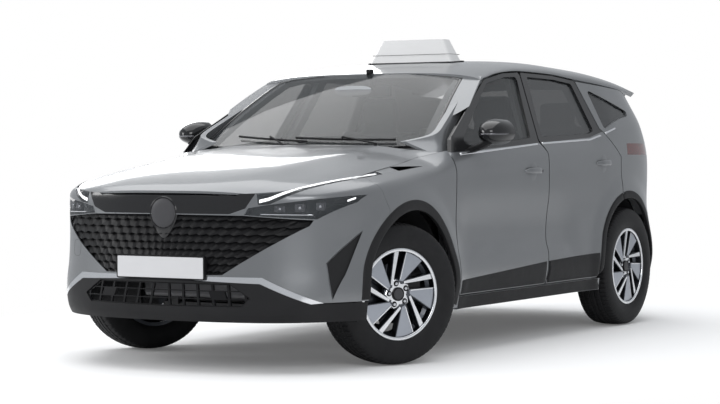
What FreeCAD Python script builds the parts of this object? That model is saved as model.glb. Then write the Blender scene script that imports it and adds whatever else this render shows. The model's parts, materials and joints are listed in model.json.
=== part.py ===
import FreeCAD, Part
import Sketcher
import math
import os

# A five-seat crossover taxi cab: monocoque body, opening panels, steered front wheels.
# X points to the cab's left, the front faces -Y, Z is up, and the origin is on the ground
# below the middle of the body. All sizes are in millimetres and angles in degrees.

os.makedirs("parts", exist_ok=True)
doc = FreeCAD.newDocument("taxi_cab")
sheet = doc.addObject("Spreadsheet::Sheet", "Sizes")

SIZES = {
    "body_length": 4425, "body_width": 1835, "roof_height": 1590, "wheelbase": 2665, "front_overhang": 915,
    "track_width": 1585, "tyre_diameter": 711, "tyre_width": 215, "rim_diameter": 444, "rim_width": 190,
    "tyre_wall": 15, "tyre_crown": 8, "tread_width": 176, "rim_wall": 9, "rim_flange": 9, "rim_drop": 16,
    "spoke_depth": 40, "hub_radius": 78, "hub_depth": 28, "hub_wall": 20, "hub_face": 66, "hub_flange": 22,
    "disc_radius": 150, "disc_thickness": 22, "caliper_reach": 14, "knuckle_gap": 8,
    "knuckle_thickness": 24, "knuckle_width": 90, "ball_radius": 16, "spring_wire": 7, "arch_radius": 420,
    "arch_band": 50, "arch_flare": 16, "liner_clearance": 16, "liner_wall": 4, "skin": 4, "hem": 24,
    "panel_gap": 8, "frame_gap": 12, "door_depth": 46, "door_clearance": 9, "pillar_depth": 36,
    "seat_gap": 0.3, "overrun": 5, "glass_thickness": 4, "glass_inset": 12, "sill_bottom": 240,
    "door_bottom": 315, "body_bottom": 250, "hinge_setback": 26, "swing_radius": 92, "roof_thickness": 26,
    "hood_thickness": 18, "hood_gap": 9, "hood_edge_thickness": 5, "hood_clearance": 5,
    "tailgate_depth": 42, "bumper_wall": 6, "scale_root": 23, "scale_lip": 10, "scale_out": 8,
    "scale_tooth": 7, "scale_back": 27, "intake_rim": 5, "lamp_depth": 60, "steer_angle": -25,
    "kingpin_lean": 12, "kingpin_low_x": 715, "kingpin_low_z": 205, "strut_radius": 27,
    "spring_radius": 58, "strut_top": 880, "spindle_radius": 24, "bearing_gap": 0.8, "floor_half": 770,
    "flange_wall": 12, "flange_top": 336, "firewall_half": 680, "rear_tub_x": 620, "front_tub_x": 455,
    "front_liner_x": 825, "rear_liner_x": 800, "passage_top": 506, "arm_radius": 13, "bush_radius": 28,
    "rear_spring_setback": 120, "beam_setback": 200, "pipe_radius": 24, "dash_half": 745,
    "console_half": 120, "column_radius": 28, "column_reach": 260, "hub_recess": 45, "shaft_radius": 12,
    "shaft_reach": 150, "column_rake": 24, "steering_wheel_radius": 184, "steering_rim_radius": 15,
    "seat_width": 520, "seat_x": 380, "head_half": 120, "sign_width": 566, "sign_top_width": 410,
    "sign_depth": 150, "sign_top_depth": 96, "sign_top_z": 1705, "sign_y": 330, "wiper_lift": 14,
    "wiper_radius": 6, "mirror_inner_x": 905, "mirror_outer_x": 1050, "mirror_root_x": 830,
    "spoiler_depth": 24, "gate_split": 10,
}

for row, (alias, size) in enumerate(SIZES.items(), 1):
    sheet.set("A%d" % row, alias)
    sheet.set("B%d" % row, str(size))
    sheet.setAlias("B%d" % row, alias)
doc.recompute()


size = {alias: float(sheet.get(alias)) for alias in SIZES}
length = size["body_length"]
half_width = size["body_width"] / 2
height = size["roof_height"]
front_axle = -length / 2 + size["front_overhang"]
rear_axle = front_axle + size["wheelbase"]
axle_height = size["tyre_diameter"] / 2
wheel_x = size["track_width"] / 2
gap = size["panel_gap"]
over = size["overrun"]
vec = FreeCAD.Vector
parts = {}


def curve(*points):
    # a smooth curve through hand-picked points that never overshoots between two of them
    xs = [p[0] for p in points]
    ys = [p[1] for p in points]
    slopes = [(ys[i + 1] - ys[i]) / (xs[i + 1] - xs[i]) for i in range(len(xs) - 1)]
    tangents = [slopes[0]]
    for a, b in zip(slopes, slopes[1:]):
        tangents.append(0.0 if a * b <= 0 else 2 * a * b / (a + b))
    tangents.append(slopes[-1])

    def value(x):
        if x <= xs[0]:
            return ys[0] + (x - xs[0]) * tangents[0]
        if x >= xs[-1]:
            return ys[-1] + (x - xs[-1]) * tangents[-1]
        i = max(j for j in range(len(xs) - 1) if xs[j] <= x)
        step = xs[i + 1] - xs[i]
        t = (x - xs[i]) / step
        return (ys[i] * (1 + 2 * t) * (1 - t) ** 2 + tangents[i] * step * t * (1 - t) ** 2
                + ys[i + 1] * t * t * (3 - 2 * t) + tangents[i + 1] * step * t * t * (t - 1))

    return value


def blend(low, high, x):
    t = min(1.0, max(0.0, (x - low) / (high - low)))
    return t * t * (3 - 2 * t)


# The lines that shape the body: shares of the length along Y, of the height along Z and of
# half the width along X.
plan_share = curve((-0.5, 0.965), (-0.384, 0.981), (-0.294, 0.99), (-0.181, 0.988), (0.0, 0.992),
                   (0.203, 0.99), (0.31, 0.981), (0.407, 0.950), (0.5, 0.895))
hood_share = curve((-0.492, 0.545), (-0.489, 0.551), (-0.479, 0.566), (-0.452, 0.590), (-0.407, 0.616),
                   (-0.339, 0.646), (-0.271, 0.668), (-0.215, 0.683), (-0.181, 0.690))
crease_share = curve((-0.49, 0.536), (-0.407, 0.538), (-0.339, 0.552), (-0.185, 0.601), (0.059, 0.640),
                     (0.226, 0.645), (0.339, 0.648), (0.475, 0.642))
hood_edge_share = curve((-0.492, 0.543), (-0.48, 0.544), (-0.452, 0.557), (-0.407, 0.577),
                        (-0.325, 0.608), (-0.22, 0.648), (-0.190, 0.668))
belt_share = curve((-0.226, 0.648), (-0.198, 0.660), (-0.113, 0.671), (0.047, 0.698), (0.197, 0.712),
                   (0.237, 0.730), (0.289, 0.760), (0.362, 0.772), (0.5, 0.775))
roof_centre_share = curve((-0.045, 0.941), (0.016, 0.972), (0.075, 0.991), (0.158, 1.0), (0.271, 0.988),
                          (0.362, 0.962), (0.407, 0.940))
roof_edge_share = curve((-0.198, 0.714), (-0.045, 0.909), (0.016, 0.942), (0.068, 0.951), (0.158, 0.946),
                        (0.22, 0.931), (0.339, 0.900), (0.42, 0.866))
nose_share = curve((0.14, -0.487), (0.182, -0.5), (0.283, -0.4965), (0.352, -0.4945), (0.484, -0.491),
                   (0.546, -0.490))
tail_share = curve((0.14, 0.484), (0.22, 0.497), (0.327, 0.5), (0.39, 0.497), (0.44, 0.487), (0.597, 0.483),
                   (0.66, 0.475), (0.742, 0.456), (0.893, 0.414), (0.95, 0.395))
section_share = curve((0.0, 0.030), (0.10, 0.016), (0.22, 0.0), (0.30, 0.001), (0.45, 0.013), (0.62, 0.016),
                      (0.85, 0.009), (1.0, 0.006))
nose_corner = 2.8
tail_corner = 3.4
nose_side_share = -0.33
tail_side_share = 0.325
hood_flat = 2.4
hood_round = 2.0
roof_flat = 3.0
roof_round = 1.9
lean_share = 0.47
shoulder_share = 0.034
undercut_share = 0.016
wrap_run_share = 0.26
tail_top_share = 0.955
hood_front_share = -0.4795
hood_rear_share = -0.196
hood_nose_share = -0.4885
hood_cowl_share = -0.2165
hood_ridge_share = 0.007
hood_crown_power = 3.4
screen_base_share = 0.805
screen_top_share = 0.652
screen_base_y_share = -0.209
screen_base_bow_share = 0.031
screen_top_y_share = -0.0485
screen_top_bow_share = 0.0095
screen_base_z_share = 0.676
screen_base_rise_share = 0.016
screen_top_z_share = 0.9375
screen_top_drop_share = 0.010
screen_bulge_share = 0.012
scoop_share = curve((-0.165, 0.345), (0.05, 0.338), (0.1, 0.330), (0.13, 0.305), (0.16, 0.27))


def hood_edge_z(y):
    return height * hood_edge_share(y / length)


def arch_push(y, z):
    # how far the wheel arches stand out of the side
    push = 0.0
    for axle in (front_axle, rear_axle):
        ring = math.hypot(y - axle, z - axle_height) - size["arch_radius"]
        push = max(push, size["arch_flare"] * (1 - blend(size["arch_band"], 3 * size["arch_band"], ring)))
    return push


def side_x(y, z):
    # half the body's width at a station and height, from the sill to the roof's edge
    ys = y / length
    crease = height * crease_share(ys)
    belt = height * belt_share(ys)
    full = half_width * plan_share(ys) - size["arch_flare"] / 2
    low = size["sill_bottom"]
    crease_x = full - half_width * section_share(1.0)
    if z <= crease:
        scoop = height * scoop_share(ys)
        doors = blend(-0.19, -0.15, ys) * (1 - blend(0.10, 0.16, ys))
        tuck = doors * half_width * undercut_share * blend(-0.02, 0.004, z / height - scoop / height)
        tuck *= 1 - blend(0.05, 0.20, (z - scoop) / height)
        return full - half_width * section_share((z - low) / (crease - low)) - tuck + arch_push(y, z)
    cabin = crease_x + arch_push(y, z)
    if z <= belt:
        t = (z - crease) / (belt - crease)
        cabin -= half_width * shoulder_share * t ** 1.5
    else:
        rise = z - belt
        cabin -= half_width * shoulder_share + lean_share * rise - half_width * 0.05 * (rise / height) * 0.5
    if ys > -0.18:
        return cabin
    top = height * hood_share(ys)
    share = min(1.0, (z - crease) / (top - crease))
    wing = crease_x * (1 - share ** hood_round) ** (1 / hood_flat)
    mix = blend(-0.235, -0.18, ys)
    return wing * (1 - mix) + cabin * mix


def nose_y(z):
    return length * nose_share(z / height)


def tail_y(z):
    return length * tail_share(z / height)


def wrap_share(corner, u):
    # shares across and along on a corner's plan curve: u 0 is the middle of the car, 1 the side
    turn = math.radians(90 * min(1.0, abs(u)))
    reach = (math.sin(turn) ** corner + math.cos(turn) ** corner) ** (1 / corner)
    return math.copysign(math.sin(turn) / reach, u), math.cos(turn) / reach


def nose_point(u, v):
    # u over 1 runs back along the side, v climbs from the lip to the hood's edge
    start = length * nose_side_share
    side, ahead = wrap_share(nose_corner, u)
    back = max(0.0, abs(u) - 1) * length * wrap_run_share
    guess = start + back - (start - nose_y(height / 2)) * ahead
    z = size["body_bottom"] + v * (hood_edge_z(guess) - size["body_bottom"])
    y = start + back - (start - nose_y(z)) * ahead
    return vec(side_x(y, z) * side, y, z)


def tail_point(u, v):
    # u over 1 runs forward along the side, v climbs from the lip to the roof's edge
    start = length * tail_side_share
    side, behind = wrap_share(tail_corner, u)
    ahead = max(0.0, abs(u) - 1) * length * wrap_run_share
    z = size["body_bottom"] + v * (height * tail_top_share - size["body_bottom"])
    y = start - ahead + (tail_y(z) - start) * behind
    return vec(side_x(y, z) * side, y, z)


def nose_in(depth):
    def move(u, v):
        side, ahead = wrap_share(nose_corner, u)
        return vec(-side, ahead, 0) * depth
    return move


def tail_in(depth):
    def move(u, v):
        side, behind = wrap_share(tail_corner, u)
        return vec(-side, -behind, 0) * depth
    return move


def roof_point(ys, t):
    y = ys * length
    edge = height * roof_edge_share(ys)
    crown = height * roof_centre_share(ys) - edge
    across = math.sin(math.radians(90 * t))
    rise = (1 - abs(across) ** roof_flat) ** (1 / roof_round)
    return vec(side_x(y, edge) * across, y, edge + crown * rise)


def roof_in(depth):
    def move(ys, t):
        return vec(-math.sin(math.radians(90 * t)) * depth, 0, -depth)
    return move


def hood_point(j, t, grow=0.0):
    # j runs from the nose back to the cowl, t across from -1 to 1
    ys = hood_front_share + (hood_rear_share - hood_front_share) * j
    y = ys * length
    edge = hood_edge_z(y)
    wide = side_x(y, edge)
    start = length * nose_side_share
    if y < start:
        along = (start - y) / (start - nose_y(edge))
        wide *= max(0.0, 1 - along ** nose_corner) ** (1 / nose_corner)
    wide += grow - size["hood_gap"]
    middle = length * (hood_nose_share + (hood_cowl_share - hood_nose_share) * j)
    crown = height * hood_share(middle / length) - edge
    bend = t * t
    ridge = hood_ridge_share * height * (1 - blend(0.55, 0.78, abs(t))) * blend(0.0, 0.35, j)
    z = edge + crown * (1 - abs(t) ** hood_crown_power) + ridge
    return vec(wide * t, middle + (y - middle) * bend, z)


def screen_point(t, j):
    wide = half_width * (screen_base_share + (screen_top_share - screen_base_share) * j)
    base = length * (screen_base_y_share + screen_base_bow_share * t * t)
    top = length * (screen_top_y_share + screen_top_bow_share * t * t)
    low = height * (screen_base_z_share + screen_base_rise_share * t * t)
    high = height * (screen_top_z_share - screen_top_drop_share * t * t)
    bulge = height * screen_bulge_share * 4 * j * (1 - j)
    return vec(wide * t, base + (top - base) * j, low + (high - low) * j + bulge)


def mirrored(shape):
    return shape.mirror(vec(), vec(1, 0, 0))


def surface(point, us, vs):
    # a smooth cubic surface whose control net is the points at the given stations
    face = Part.BSplineSurface()
    net = [[point(u, v) for v in vs] for u in us]
    knots = [list(range(len(row) - 2)) for row in (us, vs)]
    counts = [[4] + [1] * (len(row) - 2) + [4] for row in knots]
    face.buildFromPolesMultsKnots(net, counts[0], counts[1], knots[0], knots[1], False, False, 3, 3)
    return face.toShape()


def steps(low, high, count):
    return [low + (high - low) * i / count for i in range(count + 1)]


def slab(point, us, vs, inward):
    # a solid between a surface and its copy, each point moved by inward(point, u, v)
    outer = surface(point, us, vs)
    inner = surface(lambda u, v: point(u, v) + inward(u, v), us, vs)
    walls = []
    for edge in outer.Edges:
        middle = edge.valueAt((edge.FirstParameter + edge.LastParameter) / 2)
        partner = min(inner.Edges, key=lambda other: (other.valueAt(
            (other.FirstParameter + other.LastParameter) / 2) - middle).Length)
        walls.append(Part.makeRuledSurface(edge, partner))
    shell = Part.makeShell([outer, inner] + walls)
    shell.sewShape()
    solid = Part.Solid(shell)
    if solid.Volume < 0:
        solid.reverse()
    return solid


def polygon(points, radius=0.0):
    # a closed wire through the points, its corners rounded by arcs where a radius is given
    count = len(points)
    if not radius:
        return Part.makePolygon(points + points[:1])
    edges = []
    ends = []
    for i in range(count):
        before, here, after = points[i - 1], points[i], points[(i + 1) % count]
        one = before - here
        two = after - here
        half = one.getAngle(two) / 2
        cut = min(radius / math.tan(half), 0.4 * one.Length, 0.4 * two.Length)
        bend = cut * math.tan(half)
        one.normalize()
        two.normalize()
        start = here + one * cut
        finish = here + two * cut
        if half > math.radians(88):
            ends.append((start, finish))
            edges.append(Part.LineSegment(start, finish).toShape())
            continue
        axis = one + two
        axis.normalize()
        middle = here + axis * (bend / math.sin(half) - bend)
        ends.append((start, finish))
        edges.append(Part.Arc(start, middle, finish).toShape())
    for i in range(count):
        a = ends[i][1]
        b = ends[(i + 1) % count][0]
        if (b - a).Length > 1e-6:
            edges.append(Part.LineSegment(a, b).toShape())
    return Part.Wire(Part.__sortEdges__(edges))


def side_outline(shares, radius=0.0, grow=0.0):
    # an outline in the side view, grown by a clearance, as a prism on the cab's left
    wire = polygon([vec(0, y * length, z * height) for y, z in shares], radius)
    if grow:
        wire = wire.makeOffset2D(grow)
    return Part.Face(wire).extrude(vec(half_width + 10 * over, 0, 0))


def front_outline(shares, radius=0.0, grow=0.0, back=0.0):
    # an outline in the front view as a prism from ahead of the nose back to a station
    start = -length / 2 - 10 * over
    wire = polygon([vec(x * half_width, start, z * height) for x, z in shares], radius)
    if grow:
        wire = wire.makeOffset2D(grow)
    return Part.Face(wire).extrude(vec(0, back - start, 0))


def rear_outline(shares, radius=0.0, grow=0.0, ahead=0.0):
    start = length / 2 + 10 * over
    wire = polygon([vec(x * half_width, start, z * height) for x, z in shares], radius)
    if grow:
        wire = wire.makeOffset2D(grow)
    return Part.Face(wire).extrude(vec(0, ahead - start, 0))


def both(shares):
    # a half outline, given from the middle outwards, closed by its mirror image
    return list(shares) + [(-x, z) for x, z in reversed(shares)]


def cylinder_x(radius, y, z, x0, x1):
    return Part.makeCylinder(radius, x1 - x0, vec(x0, y, z), vec(1, 0, 0))


def block(x0, x1, y0, y1, z0, z1):
    return Part.makeBox(x1 - x0, y1 - y0, z1 - z0, vec(x0, y0, z0))


def fused(*shapes):
    whole = shapes[0].multiFuse(list(shapes[1:]))
    return whole.removeSplitter()


def keep(name, *shapes):
    # adds a sub-part whose shape is set from the sheet's values
    item = doc.addObject("Part::Feature", name)
    item.Label = name
    solids = [s for shape in shapes for s in shape.Solids]
    item.Shape = solids[0] if len(solids) == 1 else Part.makeCompound(solids)
    parts[name] = item
    return item


# The stations and heights at which the freeform surfaces are set out.
side_heights = steps(0.0, 1.0, 30)
cabin_stations = steps(-0.198, 0.335, 46)


def side_point(ys, v):
    y = ys * length
    top = height * roof_edge_share(ys) + 2 * over
    z = size["sill_bottom"] + v * (top - size["sill_bottom"])
    return vec(side_x(y, z), y, z)


def side_slab(start, depth):
    # the side wall from a depth below the skin, a given depth thick
    def point(ys, v):
        return side_point(ys, v) - vec(start, 0, 0)
    return slab(point, cabin_stations, side_heights, lambda u, v: vec(-depth, 0, 0))


jamb = size["door_depth"] + size["door_clearance"]
cabin_skin = side_slab(0, size["skin"])
cabin_core = side_slab(size["skin"] / 2, size["door_depth"] - size["skin"] / 2)
pillar_slab = side_slab(jamb, size["pillar_depth"])
sill_slab = side_slab(0, jamb + size["pillar_depth"])
jamb_zone = side_slab(-2 * size["arch_flare"], jamb + 2 * size["arch_flare"] - size["seat_gap"])
glass_slab = side_slab(size["glass_inset"], size["glass_thickness"])

# The doors and their windows, as outlines in the side view.
bottom = size["door_bottom"] / height
split = size["panel_gap"] / length
frame_split = size["frame_gap"] / length
front_door_shares = [(-0.1835, bottom), (-0.1853, 0.503), (-0.1866, 0.654), (-0.1706, 0.717),
                     (-0.035, 0.9128), (0.0203, 0.9383), (0.0668, 0.9449), (0.0418, 0.698),
                     (0.0572, 0.6604), (0.0606, 0.497), (0.0531, 0.27), (0.0493, bottom)]
rear_door_shares = [(0.0493 + split, bottom), (0.0531 + split, 0.27), (0.0606 + split, 0.497),
                    (0.0572 + split, 0.6616), (0.0418 + frame_split, 0.703),
                    (0.0668 + frame_split, 0.9449), (0.158, 0.9396), (0.2192, 0.9245), (0.2328, 0.748),
                    (0.2852, 0.6415), (0.287, 0.54), (0.287, 0.4), (0.2, bottom)]
front_glass_shares = [(-0.1560, 0.690), (-0.034, 0.8985), (0.0203, 0.9245), (0.0545, 0.929),
                      (0.0250, 0.7125), (-0.113, 0.6835)]
rear_glass_shares = [(0.0560, 0.716), (0.0840, 0.930), (0.158, 0.9255), (0.2065, 0.913), (0.2150, 0.738),
                     (0.197, 0.7265)]
corner = 4 * over


def arch(axle, grow=0.0):
    return cylinder_x(size["arch_radius"] + grow, axle, axle_height, 0, half_width + 10 * over)


def pair(name, *shapes):
    # keeps a sub-part for the left side and its mirror image for the right
    keep(name + "_left", *shapes)
    keep(name + "_right", *[mirrored(shape) for shape in shapes])


def make_door(name, shares, glass_shares, axle):
    skin = cabin_skin.common(side_outline(shares, corner))
    core = cabin_core.common(side_outline(shares, corner, -size["hem"])).cut(arch(axle, size["hem"]))
    panel = skin.cut(arch(axle)).fuse(core)
    pair(name, panel.cut(side_outline(glass_shares, corner)))
    pair(name + "_glass", glass_slab.common(side_outline(glass_shares, corner, -size["seat_gap"])))


make_door("front_door", front_door_shares, front_glass_shares, front_axle)
make_door("rear_door", rear_door_shares, rear_glass_shares, rear_axle)
door_zone = [jamb_zone.common(side_outline(shares, corner, gap))
             for shares in (front_door_shares, rear_door_shares)]

# The roof, with the rails over the doors.
roof_stations = steps(-0.0455, 0.374, 30)
roof_across = steps(-1.0, 1.0, 32)
roof_skin = slab(roof_point, roof_stations, roof_across, roof_in(size["roof_thickness"]))
roof_clear = slab(roof_point, roof_stations, roof_across, roof_in(size["roof_thickness"] + size["seat_gap"]))
roof = roof_skin
for zone in door_zone:
    roof = roof.cut(zone).cut(mirrored(zone))
keep("roof_panel", roof)


screen_run = screen_point(0.0, 1.0) - screen_point(0.0, 0.0)
screen_inward = vec(0, screen_run.z, -screen_run.y).normalize()


def screen_slab(low, high, start, depth):
    def point(t, j):
        return screen_point(t, j) + screen_inward * start
    return slab(point, steps(low, high, 20), steps(0.0, 1.0, 10), lambda t, j: screen_inward * depth)


glass = size["glass_thickness"]
seat = size["seat_gap"]
keep("windscreen", screen_slab(-0.98, 0.98, 0, glass).cut(roof_clear))
pillar = screen_slab(0.90, 1.15, glass + seat, size["pillar_depth"]).fuse(
    screen_slab(0.985, 1.15, 0, size["pillar_depth"] / 2))

# Each side frame: pillars, sill and hinge leaves in one piece.
ring_shares = [(-0.1965, 0.157), (-0.1965, 0.70), (-0.03, 0.93), (0.07, 0.97), (0.16, 0.97), (0.25, 0.95),
               (0.33, 0.92), (0.33, 0.157)]
sill_shares = [(-0.1835, 0.150), (-0.1835, bottom - split * length / height),
               (0.2145, bottom - split * length / height), (0.2145, 0.150)]
# a drain notch where the windscreen pillar's foot meets the door's opening
drain_shares = (0.8109, 0.8283, -0.17718, -0.17356, 0.6805, 0.69057)
frame = pillar_slab.common(side_outline(ring_shares))
for shares in (front_door_shares, rear_door_shares):
    frame = frame.cut(side_outline(shares, corner, -size["hem"] - 2 * over))
frame = frame.fuse(sill_slab.common(side_outline(sill_shares)))
leaf_slab = side_slab(size["door_depth"] + 3 * seat, size["door_clearance"] + over)
for edge_share, level in ((-0.1835, 0.27), (-0.1853, 0.46), (0.0531 + split, 0.27), (0.0600 + split, 0.46)):
    hinge_y = edge_share * length + size["hem"]
    frame = frame.fuse(leaf_slab.common(block(0, half_width, hinge_y - 3 * over, hinge_y + 6 * over,
                                              level * height, level * height + 14 * over)))
swing_y = (0.0531 + split) * length + size["hinge_setback"]
swing = Part.makeCylinder(size["swing_radius"], height / 4, vec(half_width - 2 * over, swing_y, 0.6 * height))
liner_cut = size["liner_clearance"] + size["liner_wall"] + over
for zone in door_zone:
    pillar = pillar.cut(zone)
sill_flange = block(size["floor_half"] + seat, size["floor_half"] + seat + size["flange_wall"],
                    -0.1835 * length, 0.2145 * length, size["door_bottom"] - gap - over, size["flange_top"])
sill_foot = block(size["floor_half"] + seat, half_width - 12 * over, -0.1835 * length, 0.2145 * length,
                  size["sill_bottom"], size["door_bottom"] - gap)
frame = frame.fuse(pillar).fuse(sill_foot.fuse(sill_flange)).cut(roof_clear).cut(swing)
frame = frame.cut(arch(rear_axle, liner_cut)).cut(arch(front_axle, liner_cut))
drain_notch = block(drain_shares[0] * half_width, drain_shares[1] * half_width, drain_shares[2] * length,
                    drain_shares[3] * length, drain_shares[4] * height, drain_shares[5] * height)
pair("side_frame", frame.cut(drain_notch))

liner_radius = size["arch_radius"] + size["liner_clearance"]

# Hood and cowl.


def hood_in(depth):
    # thinner at the hood's edges than in its middle
    def move(j, t):
        edge = size["hood_edge_thickness"]
        rise = (1 - abs(t) ** 8) * blend(-0.05, 0.05, j)
        return vec(0, 0, -(edge + (depth - edge) * rise))
    return move


def hood_above(j, t):
    return hood_point(j, t, size["hood_gap"] + over) + vec(0, 0, size["hood_thickness"])


hood_rows = steps(0.0, 1.0, 30)
hood_across = steps(-1.0, 1.0, 30)
hood = slab(hood_point, hood_rows, hood_across, hood_in(size["hood_thickness"]))
keep("hood", hood)
hood_clear = slab(hood_above, steps(-0.012, 1.0, 30), hood_across, lambda j, t: hood_in(
    size["hood_thickness"])(j, t) - vec(0, 0, size["hood_thickness"] + size["hood_clearance"]))

# feet that stand on the firewall's top, near the cowl's ends
cowl_foot_shares = (0.654, 0.730, -0.19372, -0.19141, 0.648, 0.6682)


def cowl_point(t, w):
    front = hood_point(1.0, t) - vec(0, -gap, 3 * over)
    back = screen_point(t, 0.0) - vec(0, 0, glass + 2 * over)
    return front + (back - front) * w


cowl = slab(cowl_point, steps(-0.87, 0.87, 12), steps(0.0, 1.0, 4), lambda t, w: vec(0, 0, -2 * over))
cowl_foot = block(cowl_foot_shares[0] * half_width, cowl_foot_shares[1] * half_width,
                  cowl_foot_shares[2] * length, cowl_foot_shares[3] * length,
                  cowl_foot_shares[4] * height, cowl_foot_shares[5] * height)
cowl = cowl.fuse(cowl_foot).fuse(mirrored(cowl_foot))
keep("cowl_panel", cowl)

# Nose: panels cut from one wrap-around surface.
nose_across = steps(-1.0, 1.0, 48)
nose_heights = steps(0.0, 1.0, 24)


def nose_slab(start, depth, us=nose_across):
    def point(u, v):
        return nose_point(u, v) + nose_in(start)(u, v)
    return slab(point, us, nose_heights, nose_in(depth))


fender_shares = [(-0.1853, 0.150), (-0.1871, 0.503), (-0.1884, 0.654), (-0.1900, 0.72), (-0.36, 0.72),
                 (-0.3616, 0.577), (-0.3469, 0.49), (-0.3469, 0.150)]
band_shares = [(0, 0.483), (0.405, 0.483), (0.49, 0.500), (0.535, 0.540), (0.56, 0.60), (0, 0.60)]
running_lamp_shares = [(0.545, 0.545), (0.556, 0.511), (0.61, 0.512), (0.872, 0.590), (0.90, 0.62),
                       (0.56, 0.62)]
main_lamp_shares = [(0.505, 0.5006), (0.60, 0.510), (0.948, 0.538), (0.929, 0.516), (0.812, 0.467),
                    (0.485, 0.4805)]
grille_shares = [(0, 0.4805), (0.482, 0.478), (0.800, 0.464), (0.784, 0.447), (0.375, 0.300), (0, 0.298)]
vent_shares = [(0.939, 0.429), (0.843, 0.333), (0.873, 0.225), (0.905, 0.299)]
strip_shares = [(0, 0.296), (0.585, 0.294), (0.845, 0.216), (0.80, 0.2135), (0.577, 0.275), (0, 0.287)]
under_shares = [(0, 0.2965), (0.5855, 0.2945), (0.8458, 0.2165), (1.2, 0.2165), (1.2, 0.05), (0, 0.05)]
valance_shares = [(0, 0.2865), (0.575, 0.2745), (0.798, 0.213), (1.2, 0.213), (1.2, 0.05), (0, 0.05)]
intake_shares = [(0, 0.274), (0.42, 0.274), (0.535, 0.232), (0.49, 0.206), (0, 0.203)]


def halves(shares, grow=0.0):
    one = front_outline(shares, 0, grow)
    return [one, mirrored(one)]


def whole(shares, grow=0.0):
    return front_outline(both(shares), 0, grow)


fender = nose_slab(0, size["skin"], steps(0.75, 1.59, 34)).common(side_outline(fender_shares))
fender = fender.cut(arch(front_axle)).cut(halves(running_lamp_shares, seat)[0])
pair("front_fender", fender)

nose_skin = nose_slab(0, size["bumper_wall"]).cut(hood_clear)
side_cuts = [side_outline(fender_shares, 0, 3 * seat), arch(front_axle)]
for cut in list(side_cuts):
    side_cuts.append(mirrored(cut))
for cut in side_cuts:
    nose_skin = nose_skin.cut(cut)
bumper = nose_skin.cut(whole(under_shares)).cut(whole(grille_shares, seat)).cut(whole(band_shares, seat))
for shares in (running_lamp_shares, main_lamp_shares, vent_shares):
    for cut in halves(shares, seat):
        bumper = bumper.cut(cut)
keep("front_bumper", bumper)
valance = nose_skin.common(whole(valance_shares)).cut(whole(intake_shares, seat))
backing = size["bumper_wall"] + 2 * seat
vent_slab = nose_slab(backing, size["bumper_wall"])
vents = [vent_slab.common(cut) for cut in halves(vent_shares, gap)]
for cut in side_cuts:
    vents = [vent.cut(cut) for vent in vents]
keep("front_valance", valance, *vents)
keep("bumper_strip", nose_skin.common(whole(strip_shares)))
keep("nose_band", nose_skin.common(whole(band_shares)))
grille_slab = nose_slab(backing, size["bumper_wall"] * 2).cut(hood_clear)


def nose_at(x, z, depth):
    # the place on the nose at a share across and a share of the height, moved in by a depth
    low = 0.0
    high = 1.0
    start = length * nose_side_share
    for i in range(30):
        u = (low + high) / 2
        side, ahead = wrap_share(nose_corner, u)
        y = start - (start - nose_y(z * height)) * ahead
        if side_x(y, z * height) * side < abs(x) * half_width:
            low = u
        else:
            high = u
    return vec(math.copysign(side_x(y, z * height) * side, x), y, z * height) + vec(
        -math.copysign(side, x), ahead, 0) * depth


def triangles(*corners):
    # flat facets that fill a strip of corners, each with the two before it
    return [Part.Face(Part.makePolygon([a, b, c, a])) for a, b, c in zip(corners, corners[1:], corners[2:])]


def scale_sheet(starts, rows, back):
    # overlapping scales in columns that fan out from the middle, saw-toothed along their lower edges
    spots = [-spot for spot in starts[:0:-1]] + list(starts)
    across = []
    for one, two in zip(spots, spots[1:]):
        tip = one + (two - one) * (scale_tip if one >= 0 else 1 - scale_tip)
        across += [(one, 0), (tip, 1)]
    across.append((spots[-1], 0))
    rise = rows[0] - rows[-1]

    def place(i, j, depth, drop):
        spot, tip = across[i]
        x = spot * (1 + scale_fan * (rows[j] - rows[-1]) / rise)
        return nose_at(x, rows[j] - (drop * tip) / height, depth)

    roots = {}
    lips = {}
    backs = {}
    for j in range(len(rows)):
        for i in range(len(across)):
            roots[i, j] = place(i, j, size["scale_root"], 0)
            lip = size["scale_lip"] - size["scale_out"] * across[i][1]
            lips[i, j] = place(i, j, lip, size["scale_tooth"])
            backs[i, j] = place(i, j, back, 0)
    facets = []
    last = len(rows) - 1
    far = len(across) - 1
    for j in range(last):
        for i in range(far):
            facets += triangles(roots[i, j], roots[i + 1, j], lips[i, j + 1], lips[i + 1, j + 1],
                                roots[i, j + 1], roots[i + 1, j + 1])
            facets += triangles(backs[i, j], backs[i + 1, j], backs[i, j + 1], backs[i + 1, j + 1])
        for i in (0, far):
            facets += triangles(lips[i, j + 1], roots[i, j + 1], roots[i, j], backs[i, j + 1], backs[i, j])
    for i in range(far):
        for j in (0, last):
            facets += triangles(roots[i, j], roots[i + 1, j], backs[i, j], backs[i + 1, j])
    shell = Part.makeShell(facets)
    shell.sewShape()
    solid = Part.Solid(shell)
    if solid.Volume < 0:
        solid.reverse()
    return solid


# The grille's scales: where their columns start at the bottom, and their rows from the top down.
scale_fan = 1.15
scale_tip = 0.3
scale_starts = (0, 0.028, 0.057, 0.088, 0.121, 0.156, 0.193, 0.232, 0.273, 0.316, 0.361, 0.408, 0.44)
scale_rows = steps(0.4885, 0.2900, 9)
upper_grille = scale_sheet(scale_starts, scale_rows, size["scale_back"])
upper_grille = upper_grille.common(whole(grille_shares, gap))
upper_grille = upper_grille.cut(nose_slab(0, backing).cut(whole(grille_shares)))
for shares in (running_lamp_shares, main_lamp_shares):
    for cut in halves(shares, seat):
        upper_grille = upper_grille.cut(cut)

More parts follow.
